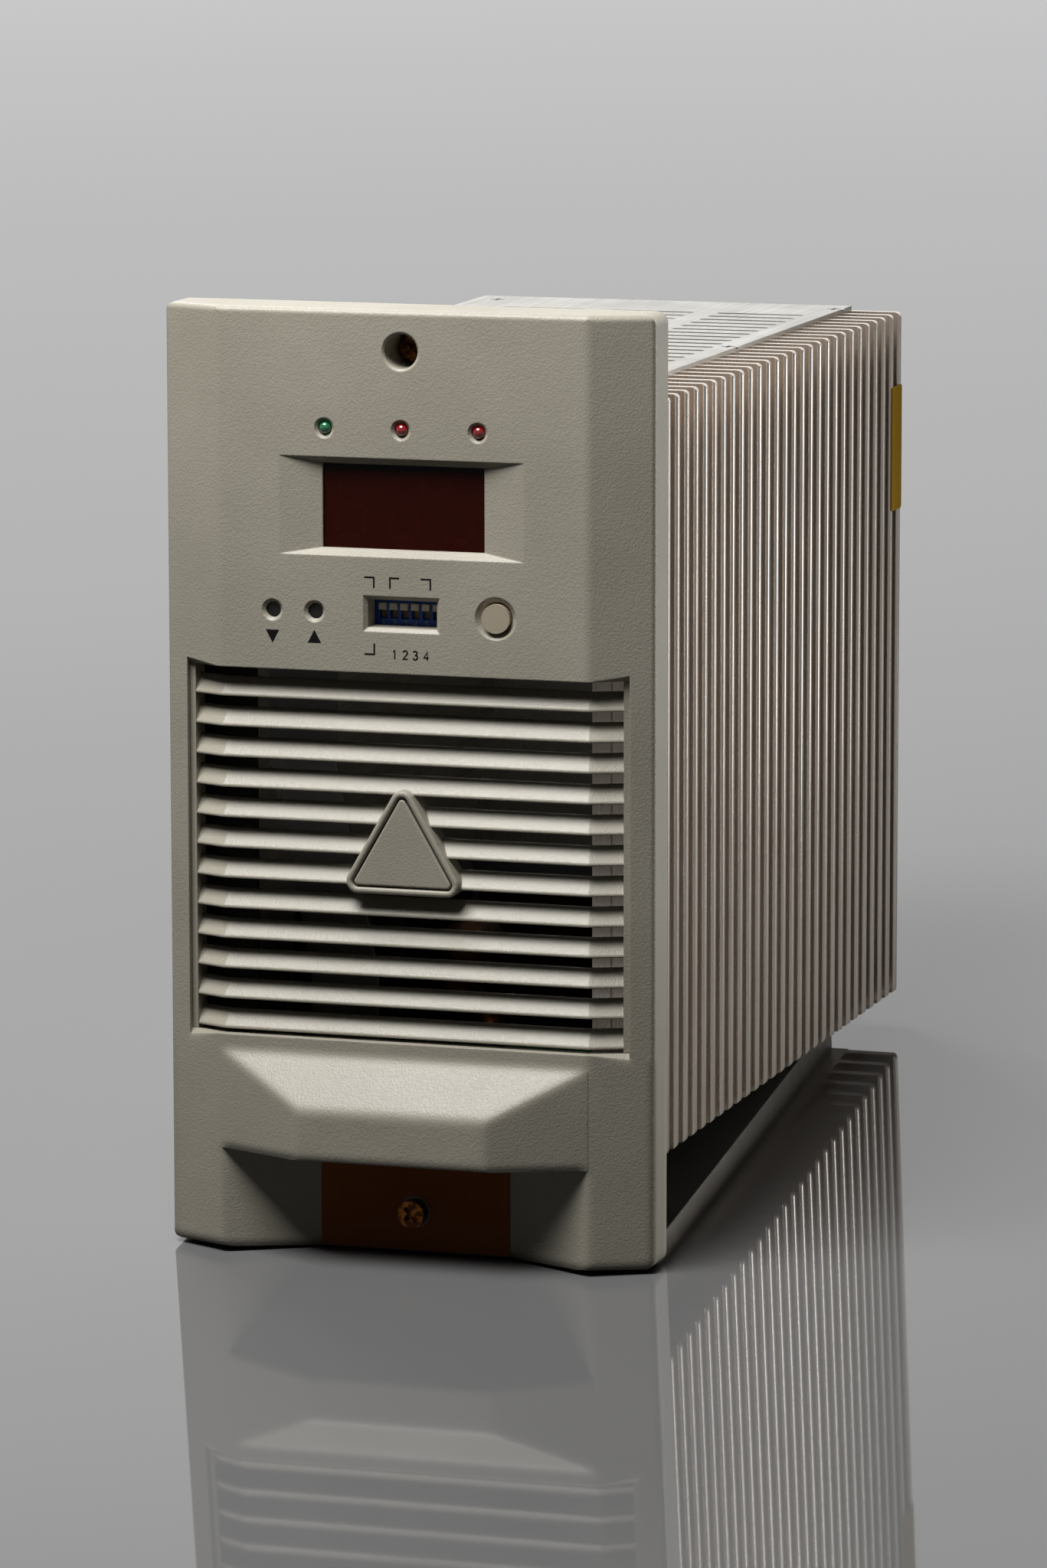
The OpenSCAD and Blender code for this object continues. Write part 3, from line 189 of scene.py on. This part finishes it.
# Capacitors on the main board.
# Aluminium cans in a black sleeve, shrunk on with heat; soldered to the board.
# Black with a soft shine.
shrink_sleeve = moulded("black_shrink_sleeve", "#15171B", "#101215",
                        roughness=0.35, grain_mm=2.0, relief_mm=0.02)
dress(shrink_sleeve, "capacitors")

# Cores of the transformer and the choke.
# Ferrite, pressed from powder and sintered; soldered to the board by their windings.
# Dull dark grey ceramic.
ferrite = moulded("sintered_ferrite", "#3A3A3B", "#2C2C2D", roughness=0.6, grain_mm=0.6, relief_mm=0.03)
dress(ferrite, "transformer_core", "choke_core")

# Windings of the transformer and the choke.
# Enamelled copper wire, wound round the cores.
# Amber enamel over copper, darkened further as painted shade, so that it stays dark behind the louvres.
# Turns of wire show as lines 0.8 mm apart.
wire_with_painted_shade = rolled("enamelled_wire_darkened_as_shade", "#4E2B14", "#38200F",
                        roughness=0.4, line_mm=0.8, run_mm=30, axis="X")
dress(wire_with_painted_shade, "transformer_winding", "choke_winding")

# Transistors, connectors, switches under the keys and the button, lamp spacers and the digit block.
# Black moulding compound and glass-filled plastic; most are soldered to a board.
# Matt black.
black_moulding = moulded("black_moulding_compound", "#2B2B2C", "#222223",
                         roughness=0.5, grain_mm=0.4, relief_mm=0.02)
dress(black_moulding, "power_transistors", "rear_connector", "ribbon_sockets", "key_switches",
      "button_switch", "led_spacers", "display_block")

# Pads between the transistors and the heat sink.
# Silicone sheet, cut to shape and held by the clamped transistors.
# Grey and dull.
silicone_pad = moulded("grey_silicone_pad", "#B0ADA5", "#A09D96", roughness=0.7, grain_mm=0.5, relief_mm=0.03)
dress(silicone_pad, "insulating_pads")

# Flat cable from the control board to the main board.
# Copper strands in soft plastic, extruded side by side; a socket at each end holds it.
# Grey with a faint grain.
flat_cable = moulded("grey_flat_cable", "#8C8C8E", "#78787A", roughness=0.45, grain_mm=1.0, relief_mm=0.05)
dress(flat_cable, "ribbon_cable")

# Screws of every joint, and the rings that keep the captive screws in.
# Steel, cold-headed or stamped, with bright zinc plate.
# Bright grey metal with short lines, drawn coarser so that they show.
bright_zinc = rolled("bright_zinc_plate", "#C9C7C2", "#A3A19C", roughness=0.25, line_mm=0.4, run_mm=6, axis="Z")
dress(bright_zinc, "control_screws", "panel_screws", "plate_screws", "sink_screws", "cover_screws",
      "rear_screws", "board_screws", "clamp_screws", "retaining_ring_upper", "retaining_ring_lower")

# Vented top cover.
# Mill-finish aluminium sheet with punched vent slots, screwed down along its edges.
# Pale and silvery, with rolling lines from front to back that are drawn coarser so that they show.
mill_sheet = rolled("mill_finish_sheet", "#DCD9D2", "#BDBAB3", roughness=0.38, line_mm=0.6, run_mm=50, axis="Y")
dress(mill_sheet, "top_cover")

# Keys, deep in their two small holes.
# Black nylon, moulded; each rests on the switch under it.
# Black, darkened further to jet black as painted shade, so that the deep holes look unlit.
keys_black_and_shade = moulded("black_nylon_with_painted_shade", "#0B0B0B", "#080808", roughness=0.6, grain_mm=0.4, relief_mm=0.02)
dress(keys_black_and_shade, "down_key", "up_key")

# Option switch: a body with six levers that slide in slots, numbered below the slots.
# Glass-filled plastic, moulded, soldered to the control board; the numerals are printed on the body.
# Clear blue and dull.
blue_body = moulded("blue_moulded_polyester", "#2458BC", "#1D48A0", roughness=0.45, grain_mm=0.4, relief_mm=0.02)
dress(blue_body, "dip_body")
# Off-white and dull.
lever_white = moulded("off_white_moulded_nylon", "#F0EADA", "#E0D9C8",
                      roughness=0.45, grain_mm=0.4, relief_mm=0.02)
levers = [f"dip_slider_{i}" for i in range(1, 7)]
dress(lever_white, *levers)


def build(name, parts, material, body="module"):
    """Joins grids of points into one piece: each part is its grid of points in millimetres, whether its last
    row joins its first, and whether one face closes its last column."""
    points, faces, start = [], [], 0
    for grid, loop, cap in parts:
        rows, columns = grid.shape[:2]
        index = start + np.arange(rows * columns).reshape(rows, columns)
        ring = np.vstack([index, index[:1]]) if loop else index
        quads = np.stack([ring[:-1, :-1], ring[1:, :-1], ring[1:, 1:], ring[:-1, 1:]], -1)
        faces += quads.reshape(-1, 4).tolist()
        if cap:
            faces.append(index[:, -1].tolist())
        points.append(grid.reshape(-1, 3))
        start += rows * columns
    mesh = bpy.data.meshes.new(name)
    mesh.from_pydata((np.concatenate(points) * mm).tolist(), [], faces)
    made = bpy.data.objects.new(name, mesh)
    bpy.context.scene.collection.objects.link(made)
    mesh.materials.append(material)
    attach(made, body)
    return made


def stroke(path, width, y):
    """Flat band along a path of x and z, of one width or one for each point: every point steps half the width to
    both sides along the mean of its two neighbouring normals, further out at a corner so that the band keeps its
    width, up to a limit at sharp corners."""
    sharpest = 0.6
    path = np.asarray(path, float)
    step = np.diff(path, axis=0)
    step /= np.linalg.norm(step, axis=1, keepdims=True)
    before = np.vstack([step[:1], step])
    after = np.vstack([step, step[-1:]])
    mean = before + after
    mean /= np.linalg.norm(mean, axis=1, keepdims=True)
    stretch = 1 / np.maximum((mean * after).sum(1), sharpest)
    normal = np.column_stack([-mean[:, 1], mean[:, 0]]) * (stretch * width / 2)[:, None]
    band = np.stack([path - normal, path + normal], 1)
    return np.insert(band, 1, y, axis=-1), False, False


def arc(x, z, across, up, start, end, points=14):
    """Points of an ellipse's arc between two angles in degrees: the middle plus the cosine and the sine of the angle,
    each times its own radius."""
    turn = np.radians(np.linspace(start, end, points))
    return np.column_stack([x + across * np.cos(turn), z + up * np.sin(turn)])


def numeral(figure, x, z, tall, width, y):
    """One plain numeral, centred on x and standing on z, as one stroke of straights and arcs whose points are
    shares of its height."""
    path = {
        1: [[-0.16, 0.78], [0.02, 0.98], [0.02, 0.0]],
        2: np.vstack([arc(0, 0.74, 0.25, 0.26, 165, -25), [[-0.24, 0.02], [0.28, 0.02]]]),
        3: np.vstack([arc(-0.02, 0.75, 0.22, 0.24, 160, -75), arc(-0.02, 0.27, 0.26, 0.27, 75, -160)]),
        4: [[0.12, 0.0], [0.12, 0.98], [-0.27, 0.28], [0.28, 0.28]],
        5: np.vstack([[[0.22, 0.98], [-0.18, 0.98], [-0.22, 0.56]], arc(0, 0.32, 0.25, 0.32, 125, -150)]),
        6: np.vstack([[[0.14, 0.98]], arc(0, 0.3, 0.25, 0.3, 150, -200)]),
    }[figure]
    return stroke(np.asarray(path) * tall + [x, z], width, y)


# A slot's gap round its lever, the lever's way down and the slot's depth; then how far a numeral hangs below its
# slot, its height, its line and its film of ink.
slot_gap = 0.1
slot_room = 2.05
slot_deep = 1.58
figure_drop = 1.75
figure_tall = 1.3
figure_line = 0.2
figure_film = 0.01
body_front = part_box("dip_body")[0].y / mm
slot_floors = []
switch_figures = []
for i, lever in enumerate(levers, 1):
    low, high = (np.array(c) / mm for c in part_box(lever))
    middle = (low[0] + high[0]) / 2
    slot_low = low[2] - slot_room
    slot_floors.append(stroke([[middle, slot_low], [middle, high[2] + slot_gap]],
                              high[0] - low[0] + 2 * slot_gap, body_front + slot_deep))
    switch_figures.append(numeral(i, middle, slot_low - figure_drop, figure_tall, figure_line,
                                  body_front - figure_film))
# Brownish natural nylon inside the slots, dull and half in shadow.
slot_nylon = moulded("natural_nylon", "#9C8A6C", "#86765C", roughness=0.5, grain_mm=0.4, relief_mm=0.02)
build("slot_floors", slot_floors, slot_nylon)
# Pale, matt printing ink.
pale_ink = moulded("pale_printing_ink", "#A9B3C2", "#98A3B3", roughness=0.5, grain_mm=0.3, relief_mm=0.01)
build("switch_figures", switch_figures, pale_ink)

# Lamps: one green and two red, each in its hole in the panel.
# Coloured epoxy, cast as domes; their leads pass through spacers to the control board.
# The colour goes deep under a mirror-smooth skin, which shows a sharp spot of light.
green_epoxy = moulded("green_cast_epoxy", "#1F7A4C", "#145C38", roughness=0.07, grain_mm=1.5, relief_mm=0.003)
dress(green_epoxy, "led_green")
red_epoxy = moulded("red_cast_epoxy", "#A31212", "#7A0A0A", roughness=0.07, grain_mm=1.5, relief_mm=0.003)
dress(red_epoxy, "leds_red")
for epoxy in (green_epoxy, red_epoxy):
    skin = epoxy.node_tree.nodes["Principled BSDF"].inputs
    skin["Coat Weight"].default_value = 1.0
    skin["Coat Roughness"].default_value = 0.02
    skin["Coat IOR"].default_value = 1.6

# Display: a filter behind the panel's window, with three unlit digits behind it.
# The filter is acrylic, cut from polished sheet; the digits are resin, cast into the black digit block.
# Clear dark red that lets the digits show faintly, with a slow cloud in tint and polish.
cloud_mm = 12
filter_acrylic = blank("dark_red_polished_acrylic")
place = add(filter_acrylic, "ShaderNodeTexCoord")
cloud = add(filter_acrylic, "ShaderNodeTexNoise",
            {"Vector": place.outputs["Object"], "Scale": 1 / (cloud_mm * mm), "Detail": 2.0})
tint = add(filter_acrylic, "ShaderNodeMix",
           {0: cloud.outputs["Fac"], 6: linear("#2E0A04"), 7: linear("#370D06")}, data_type="RGBA")
polish = add(filter_acrylic, "ShaderNodeMapRange",
             {"Value": cloud.outputs["Fac"], "To Min": 0.05, "To Max": 0.1})
shader = add(filter_acrylic, "ShaderNodeBsdfPrincipled",
             {"Base Color": tint.outputs[2], "Roughness": polish.outputs[0], "IOR": 1.49,
              "Specular IOR Level": 0.15, "Alpha": 0.75})
add(filter_acrylic, "ShaderNodeOutputMaterial", {"Surface": shader.outputs[0]})
dress(filter_acrylic, "display_filter")

# The digits lean by a share of their height; each segment tapers to a narrow tip, short of the next segment.
digit_tall = 14.2
digit_wide = 6.6
digit_lean = 0.13
digit_x = (-12.6, 0.0, 12.6)
segment_w = 1.5
segment_tip = 0.1
segment_gap = 0.35
block_low, block_high = (np.array(c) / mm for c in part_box("display_block"))
filter_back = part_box("display_filter")[1].y / mm
segment_y = (block_low[1] + filter_back) / 2
block_z = (block_low[2] + block_high[2]) / 2
half_w, half_h = digit_wide / 2, digit_tall / 2
ends = np.array([[[-half_w, half_h], [half_w, half_h]], [[-half_w, 0], [half_w, 0]],
                 [[-half_w, -half_h], [half_w, -half_h]], [[-half_w, 0], [-half_w, half_h]],
                 [[half_w, 0], [half_w, half_h]], [[-half_w, -half_h], [-half_w, 0]],
                 [[half_w, -half_h], [half_w, 0]]])
segment_widths = np.array([segment_tip, segment_w, segment_w, segment_tip])
segments = []
for x in digit_x:
    for start, end in ends:
        along = (end - start) / np.linalg.norm(end - start)
        first, last = start + segment_gap * along, end - segment_gap * along
        point = segment_w / 2 * along
        path = np.array([first, first + point, last - point, last])
        path[:, 0] += x + digit_lean * path[:, 1]
        path[:, 1] += block_z
        segments.append(stroke(path, segment_widths, segment_y))
# Dull red resin that glows only when lit; unlit it is a shade lighter than the block.
segment_resin = moulded("unlit_red_diffusing_resin", "#F0583E", "#DC4C34",
                        roughness=0.5, grain_mm=0.5, relief_mm=0.01)
build("digit_segments", segments, segment_resin)

# Front panel, louvre grille and badge plate.
# Plastic from a spark-eroded mould; the grille is a separate insert, and screws hold the panel to the front plate.
grip_top = 47.0
grip_blend = 2
grip_radius = 3.2
edge_radius = 0.45
# Pebble grey with a fine even grain that scatters light softly. The real grain is about 0.2 mm, drawn at 0.5 mm
# so that it shows. Edges look a little rounded, and more so round the grip, where the mould has wide radii.
panel_plastic = moulded("pebble_grey_moulded_plastic", "#ABA596", "#A09A8B",
                        roughness=0.42, grain_mm=0.5, relief_mm=0.17)
place = add(panel_plastic, "ShaderNodeTexCoord")
rise = add(panel_plastic, "ShaderNodeSeparateXYZ", {0: place.outputs["Object"]})
radius = add(panel_plastic, "ShaderNodeMapRange",
             {"Value": rise.outputs["Z"], "From Min": grip_top * mm, "From Max": (grip_top + grip_blend) * mm,
              "To Min": grip_radius * mm, "To Max": edge_radius * mm})
soft = add(panel_plastic, "ShaderNodeBevel", {"Radius": radius.outputs[0]}, samples=6)
panel_plastic.node_tree.links.new(soft.outputs[0], panel_plastic.node_tree.nodes["Bump"].inputs["Normal"])
dress(panel_plastic, "front_panel", "louvre_grille", "badge_plate")


# Badge: a blank triangular plate with a rounded edge, in a raised bead on the grille.
# The panel's plastic; the bead is moulded on the grille's boss and the plate is pressed into it.
def outline(corners):
    """Corner points and outward directions round a convex outline of x and z, anticlockwise from the front:
    at each corner the direction turns from one side's normal to the next side's."""
    steps = 9
    side = np.roll(corners, -1, 0) - corners
    angle = np.unwrap(np.arctan2(-side[:, 0], side[:, 1]))
    before = angle - np.mod(angle - np.roll(angle, 1), 2 * np.pi)
    sweep = np.linspace(before, angle, steps, axis=1).ravel()
    return np.repeat(corners, steps, 0), np.column_stack([np.cos(sweep), np.sin(sweep)])


def rimmed(corners, profile):
    """Surface round an outline: each profile point is a distance out from the corners and a place along y."""
    base, away = outline(corners)
    out, y = np.asarray(profile, float).T
    flat = base[:, None, :] + out[None, :, None] * away[:, None, :]
    return np.insert(flat, 1, np.broadcast_to(y, flat.shape[:2]), axis=-1)


# The plate's corner radius, how far it is sunk in the boss, and the radius of its edge; then the groove round it, the
# bead's outer radius and height. The laps keep both surfaces closed on the solids.
plate_r = 0.85
plate_sunk = 0.05
plate_edge = 0.4
edge_lap = 0.02
groove_w = 0.45
rim_r = 2.75
bead_h = 0.55
bead_lap = 0.03
bead_steps = 13
edge_steps = 6
badge_low, badge_high = (np.array(c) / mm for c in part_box("badge_plate"))
badge_corners = np.array([[badge_low[0] + plate_r, badge_low[2] + plate_r],
                          [badge_high[0] - plate_r, badge_low[2] + plate_r],
                          [0.0, badge_high[2] - plate_r]])
boss_y = badge_low[1] - plate_sunk
inner_r = plate_r + groove_w
swing = np.linspace(0, np.pi, bead_steps)
arch = np.column_stack([(rim_r + inner_r) / 2 + (rim_r - inner_r) / 2 * np.cos(swing),
                        boss_y + bead_lap - bead_h * np.sin(swing)])
build("badge_bead", [(rimmed(badge_corners, arch), True, False)], panel_plastic)
quarter = np.linspace(0, np.pi / 2, edge_steps)
crown = np.column_stack([plate_r - plate_edge * (1 - np.cos(quarter)),
                         badge_low[1] + edge_lap - plate_edge * np.sin(quarter)])
build("badge_face", [(rimmed(badge_corners, crown), True, True)], panel_plastic)

# Printed marks on the flat front: an arrow under each key, corner marks round the option switch and its numerals.
# Ink, screen-printed as a film of 0.02 mm; the badge's boss is flush with the flat front.
# Black, and a little duller than the plastic.
screen_ink = moulded("black_screen_ink", "#0C0B0A", "#11100F",
                     roughness=0.6, grain_mm=0.3, relief_mm=0.01, specular=0.15)
ink_film = 0.02
flat_y = boss_y
print_y = flat_y - ink_film
marks = []
# Each arrow is its x, the height of its base and the height of its tip.
arrows = ((-30.5, 142.8, 139.85), (-20.55, 140.15, 143.1))
arrow_base = 3.2
arrow_tip = 0.05
for x, base_z, tip_z in arrows:
    marks.append(stroke([[x, base_z], [x, tip_z]], np.array([arrow_base, arrow_tip]), print_y))
# Each corner mark is its corner's x and z, then how far its level arm and its upright arm reach.
corner_marks = ((-6.45, 155.5, -2.25, -2.4), (-2.65, 155.5, 2.2, -2.4),
                (6.85, 155.5, -2.25, -2.4), (-6.4, 138.15, -2.3, 2.45))
mark_line = 0.4
for x, z, across, upright in corner_marks:
    marks.append(stroke([[x + across, z], [x, z], [x, z + upright]], mark_line, print_y))
numeral_x = {1: -1.6, 2: 0.9, 3: 3.27, 4: 5.85}
numeral_z = 137.3
numeral_tall = 1.95
numeral_line = 0.36
for figure, x in numeral_x.items():
    marks.append(numeral(figure, x, numeral_z, numeral_tall, numeral_line, print_y))
printed = build("printed_marks", marks, screen_ink)
film = printed.modifiers.new("ink_film", "SOLIDIFY")
film.thickness = ink_film * mm
film.offset = -1.0

# Round button.
# Plastic of the panel's family from a smoother mould; it slides in its hole and rests on the switch under it.
# A little warmer, lighter and shinier than the panel.
button_plastic = moulded("pale_grey_satin_plastic", "#B2A591", "#A69A87",
                         roughness=0.38, grain_mm=0.4, relief_mm=0.02)
dress(button_plastic, "push_button")

# Sheet on the back wall of the finger recess, with a round hole for the lower captive screw.
# A brown sheet that gives the shaded back wall its brown tone; what that surface is made of is not known.
# Brown with a faint sheen.
brown_recess_sheet = moulded("brown_recess_tone", "#A8622E", "#985728",
                   roughness=0.5, grain_mm=0.6, relief_mm=0.01, specular=0.15)
recess_deep = 8.5
sheet_half = 22.5
sheet_bottom = 0.3
sheet_top = 23.0
sheet_t = 0.2
hole_r = 3.65
rays = 64
nearly_nought = 1e-9
recess_y = flat_y + recess_deep
screw_low, screw_high = (np.array(c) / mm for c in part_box("captive_screw_lower"))
screw_z = (screw_low[2] + screw_high[2]) / 2
# Rays from the screw's axis, with one through each corner, end where they first meet a side of the sheet; the surface
# runs from those ends in to the rim of the hole, and then back through the sheet's thickness.
sheet_corners = np.array([[-sheet_half, sheet_bottom], [sheet_half, sheet_bottom],
                          [sheet_half, sheet_top], [-sheet_half, sheet_top]]) - [0, screw_z]
theta = np.sort(np.concatenate([np.linspace(-np.pi, np.pi, rays, endpoint=False),
                                np.arctan2(sheet_corners[:, 1], sheet_corners[:, 0])]))
ray = np.column_stack([np.cos(theta), np.sin(theta)])
reach = np.where(ray > 0, sheet_corners.max(0), -sheet_corners.min(0)) / np.maximum(abs(ray), nearly_nought)
rings = np.stack([ray * reach.min(1)[:, None], ray * hole_r, ray * hole_r], 1) + [0, screw_z]
sheet_y = np.array([recess_y - sheet_t, recess_y - sheet_t, recess_y])
sheet_grid = np.insert(rings, 1, np.broadcast_to(sheet_y, rings.shape[:2]), axis=-1)
build("recess_sheet", [(sheet_grid, True, False)], brown_recess_sheet)

# Captive screws with crossed heads, one at each end of the panel.
# Steel, cold-headed, with yellow-passivated zinc; a ring behind the panel keeps each one in.
# Painted shade: the yellow zinc is darkened to a golden brown, as the heads sit in shadow.
# Its lighter patches are painted glints.
zinc_with_painted_shade = blank("yellow_zinc_with_painted_shade")
glint_mm = 1.4
glint_range = (0.42, 0.62)
place = add(zinc_with_painted_shade, "ShaderNodeTexCoord")
play = add(zinc_with_painted_shade, "ShaderNodeTexNoise",
           {"Vector": place.outputs["Object"], "Scale": 1 / (glint_mm * mm), "Detail": 2.0})
# Painted glints: the noise lifts patches of the heads towards a lighter orange.
glint_share = add(zinc_with_painted_shade, "ShaderNodeMapRange",
            {"Value": play.outputs["Fac"], "From Min": glint_range[0], "From Max": glint_range[1]})
hue = add(zinc_with_painted_shade, "ShaderNodeMix",
          {0: glint_share.outputs[0], 6: linear("#3A2210"), 7: linear("#7E4C22")}, data_type="RGBA")
polish = add(zinc_with_painted_shade, "ShaderNodeMapRange",
             {"Value": play.outputs["Fac"], "To Min": 0.2, "To Max": 0.34})
shader = add(zinc_with_painted_shade, "ShaderNodeBsdfPrincipled",
             {"Base Color": hue.outputs[2], "Metallic": 1.0, "Roughness": polish.outputs[0]})
add(zinc_with_painted_shade, "ShaderNodeOutputMaterial", {"Surface": shader.outputs[0]})
dress(zinc_with_painted_shade, "captive_screw_upper", "captive_screw_lower")

# Blank plate on the tips of the last two fins.
# Self-adhesive vinyl film, 0.15 mm thick, cut with rounded corners.
# Strong yellow and matt.
yellow_vinyl = moulded("yellow_vinyl_film", "#FFC623", "#F4B915",
                       roughness=0.5, grain_mm=0.5, relief_mm=0.01, specular=0.15)
vinyl_t = 0.15
vinyl_y = (100.4, 109.9)
vinyl_z = (147.0, 178.0)
vinyl_r = 0.8
tip_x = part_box("heat_sink")[1].x / mm
vinyl_corners = np.array([[vinyl_y[0], vinyl_z[0]], [vinyl_y[1], vinyl_z[0]],
                          [vinyl_y[1], vinyl_z[1]], [vinyl_y[0], vinyl_z[1]]])
vinyl_corners += np.array([[1, 1], [-1, 1], [-1, -1], [1, -1]]) * vinyl_r
vinyl_grid = rimmed(vinyl_corners, [[vinyl_r, tip_x], [vinyl_r, tip_x + vinyl_t]])
# The outline was worked out in x and z, so its first two coordinates change places.
build("yellow_plate", [(vinyl_grid[..., [1, 0, 2]], True, True)], yellow_vinyl)

# Floor: a pale glossy table top.
# It slopes by the small angle at which the module stands on it, on the panel's foot and the chassis's rear edge.
# Seen directly or mirrored it is glossy; the light that it throws back on dull surfaces is that of a dark table.
table_half = 6.0
table_gap = 0.0002
mottle_mm = 300
foot_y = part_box("front_panel")[1].y
foot_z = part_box("front_panel")[0].z
heel_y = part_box("rear_panel")[1].y
heel_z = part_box("chassis_tray")[0].z
slope = (heel_z - foot_z) / (heel_y - foot_y)
corner = np.array([[-1, -1], [1, -1], [1, 1], [-1, 1]]) * table_half
height = foot_z + slope * (corner[:, 1] - foot_y) - table_gap
floor_mesh = bpy.data.meshes.new("floor")
floor_mesh.from_pydata(np.column_stack([corner, height]).tolist(), [], [(0, 1, 2, 3)])
floor = bpy.data.objects.new("floor", floor_mesh)
bpy.context.scene.collection.objects.link(floor)
table_top = blank("pale_glossy_table")
place = add(table_top, "ShaderNodeTexCoord")
mottle = add(table_top, "ShaderNodeTexNoise",
             {"Vector": place.outputs["Object"], "Scale": 1 / (mottle_mm * mm), "Detail": 2.0})
tone = add(table_top, "ShaderNodeMix",
           {0: mottle.outputs["Fac"], 6: linear("#6E6E6E"), 7: linear("#747474")}, data_type="RGBA")
gleam = add(table_top, "ShaderNodeBsdfPrincipled",
            {"Base Color": tone.outputs[2], "Roughness": 0.03, "IOR": 1.5})
dull = add(table_top, "ShaderNodeBsdfDiffuse", {"Color": linear("#262626")})


def direct(owner):
    """One where a ray comes from the camera, from a reflection or through something clear, otherwise nought: the
    largest of the three marks of the light path."""
    path = add(owner, "ShaderNodeLightPath")
    seen = add(owner, "ShaderNodeMath",
               {0: path.outputs["Is Camera Ray"], 1: path.outputs["Is Glossy Ray"]}, operation="MAXIMUM")
    seen = add(owner, "ShaderNodeMath",
               {0: seen.outputs[0], 1: path.outputs["Is Transmission Ray"]}, operation="MAXIMUM")
    return seen.outputs[0]


shown = add(table_top, "ShaderNodeMixShader",
            {0: direct(table_top), 1: dull.outputs[0], 2: gleam.outputs[0]})
add(table_top, "ShaderNodeOutputMaterial", {"Surface": shown.outputs[0]})
dress(table_top, "floor")


# Lamps: a key softbox over the front, a narrow strip along the fins and a fill from behind.
# The strip is screened from the table, which would mirror it.
def softbox(name, place, aim, size, power, spread=180):
    """A soft lamp of a width and height at a place, turned towards another place; a grid narrows its spread."""
    lamp = bpy.data.lights.new(name, "AREA")
    lamp.shape = "RECTANGLE"
    lamp.size, lamp.size_y = size
    lamp.energy = power
    lamp.spread = math.radians(spread)
    made = bpy.data.objects.new(name, lamp)
    bpy.context.scene.collection.objects.link(made)
    made.location = place
    made.rotation_euler = (Vector(aim) - Vector(place)).to_track_quat("-Z", "Y").to_euler()
    return made


face_z = 0.12
face_middle = (0.0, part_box("front_panel")[0].y, face_z)
softbox("key_softbox", place=(-0.13, -0.37, 0.74), aim=face_middle, size=(0.4, 0.32), power=7.2)
strip = softbox("right_strip", place=(0.32, 0.15, 0.23), aim=(0.057, -0.1, 0.13), size=(0.12, 0.38),
                power=0.25, spread=68)
screened = bpy.data.collections.new("screened_from_strip")
screened.objects.link(floor)
screened.collection_objects[0].light_linking.link_state = "EXCLUDE"
strip.light_linking.receiver_collection = screened
softbox("rear_fill", place=(-0.55, 0.6, 1.05), aim=(-0.01, 0.1, 0.1), size=(0.4, 0.4), power=5.0)

# World: a white backdrop behind the table, greyer towards the front, to the right and overhead.
# It is seen directly or mirrored; the light that it throws on dull surfaces is an even low level.
backdrop_level = 1.15
ambient_level = 0.01
world = bpy.data.worlds.new("studio")
bpy.context.scene.world = world
world.use_nodes = True
world.node_tree.nodes.clear()
sky = add(world, "ShaderNodeTexCoord")
heading = add(world, "ShaderNodeSeparateXYZ", {0: sky.outputs["Generated"]})
# From the grey of the front, each step turns to its own tone as the heading along its axis goes from start to end.
front_grey = "#8C8C8C"
steps = (("Y", -0.6, 0.7, "#FFFFFF"), ("X", 0.08, 0.3, "#8C8C8C"), ("Z", 0.28, 0.65, "#787878"))
shade = linear(front_grey)
for axis, start, end, tone in steps:
    share = add(world, "ShaderNodeMapRange",
                {"Value": heading.outputs[axis], "From Min": start, "From Max": end})
    turned = add(world, "ShaderNodeMix", {0: share.outputs[0], 6: shade, 7: linear(tone)}, data_type="RGBA")
    shade = turned.outputs[2]
ambient = add(world, "ShaderNodeBackground", {"Color": linear("#FFFFFF"), "Strength": ambient_level})
backdrop = add(world, "ShaderNodeBackground", {"Color": shade, "Strength": backdrop_level})
both = add(world, "ShaderNodeMixShader", {0: direct(world), 1: ambient.outputs[0], 2: backdrop.outputs[0]})
add(world, "ShaderNodeOutputWorld", {"Surface": both.outputs[0]})

# Camera at the photograph's viewing angle, with a long lens.
# Its place and its turns, in degrees, were fitted to the straight edges of the panel.
lens_mm = 167.207
sensor_mm = 36.0
yaw, pitch, roll = (math.radians(a) for a in (17.479, 9.266, -0.068))
eye = (0.50996, -1.64242, 0.37192)
camera = bpy.data.objects.new("camera", bpy.data.cameras.new("camera"))
camera.data.lens = lens_mm
camera.data.sensor_width = sensor_mm
bpy.context.scene.collection.objects.link(camera)
back = np.array([math.sin(yaw) * math.cos(pitch), -math.cos(yaw) * math.cos(pitch), math.sin(pitch)])
right = np.array([math.cos(yaw), math.sin(yaw), 0.0])
up = np.cross(back, right)
rolled_right = math.cos(roll) * right + math.sin(roll) * up
rolled_up = math.cos(roll) * up - math.sin(roll) * right
stance = np.eye(4)
stance[:3, 0], stance[:3, 1], stance[:3, 2], stance[:3, 3] = rolled_right, rolled_up, back, eye
camera.matrix_world = Matrix(stance.tolist())
bpy.context.scene.camera = camera
bpy.context.scene.view_settings.view_transform = "Standard"
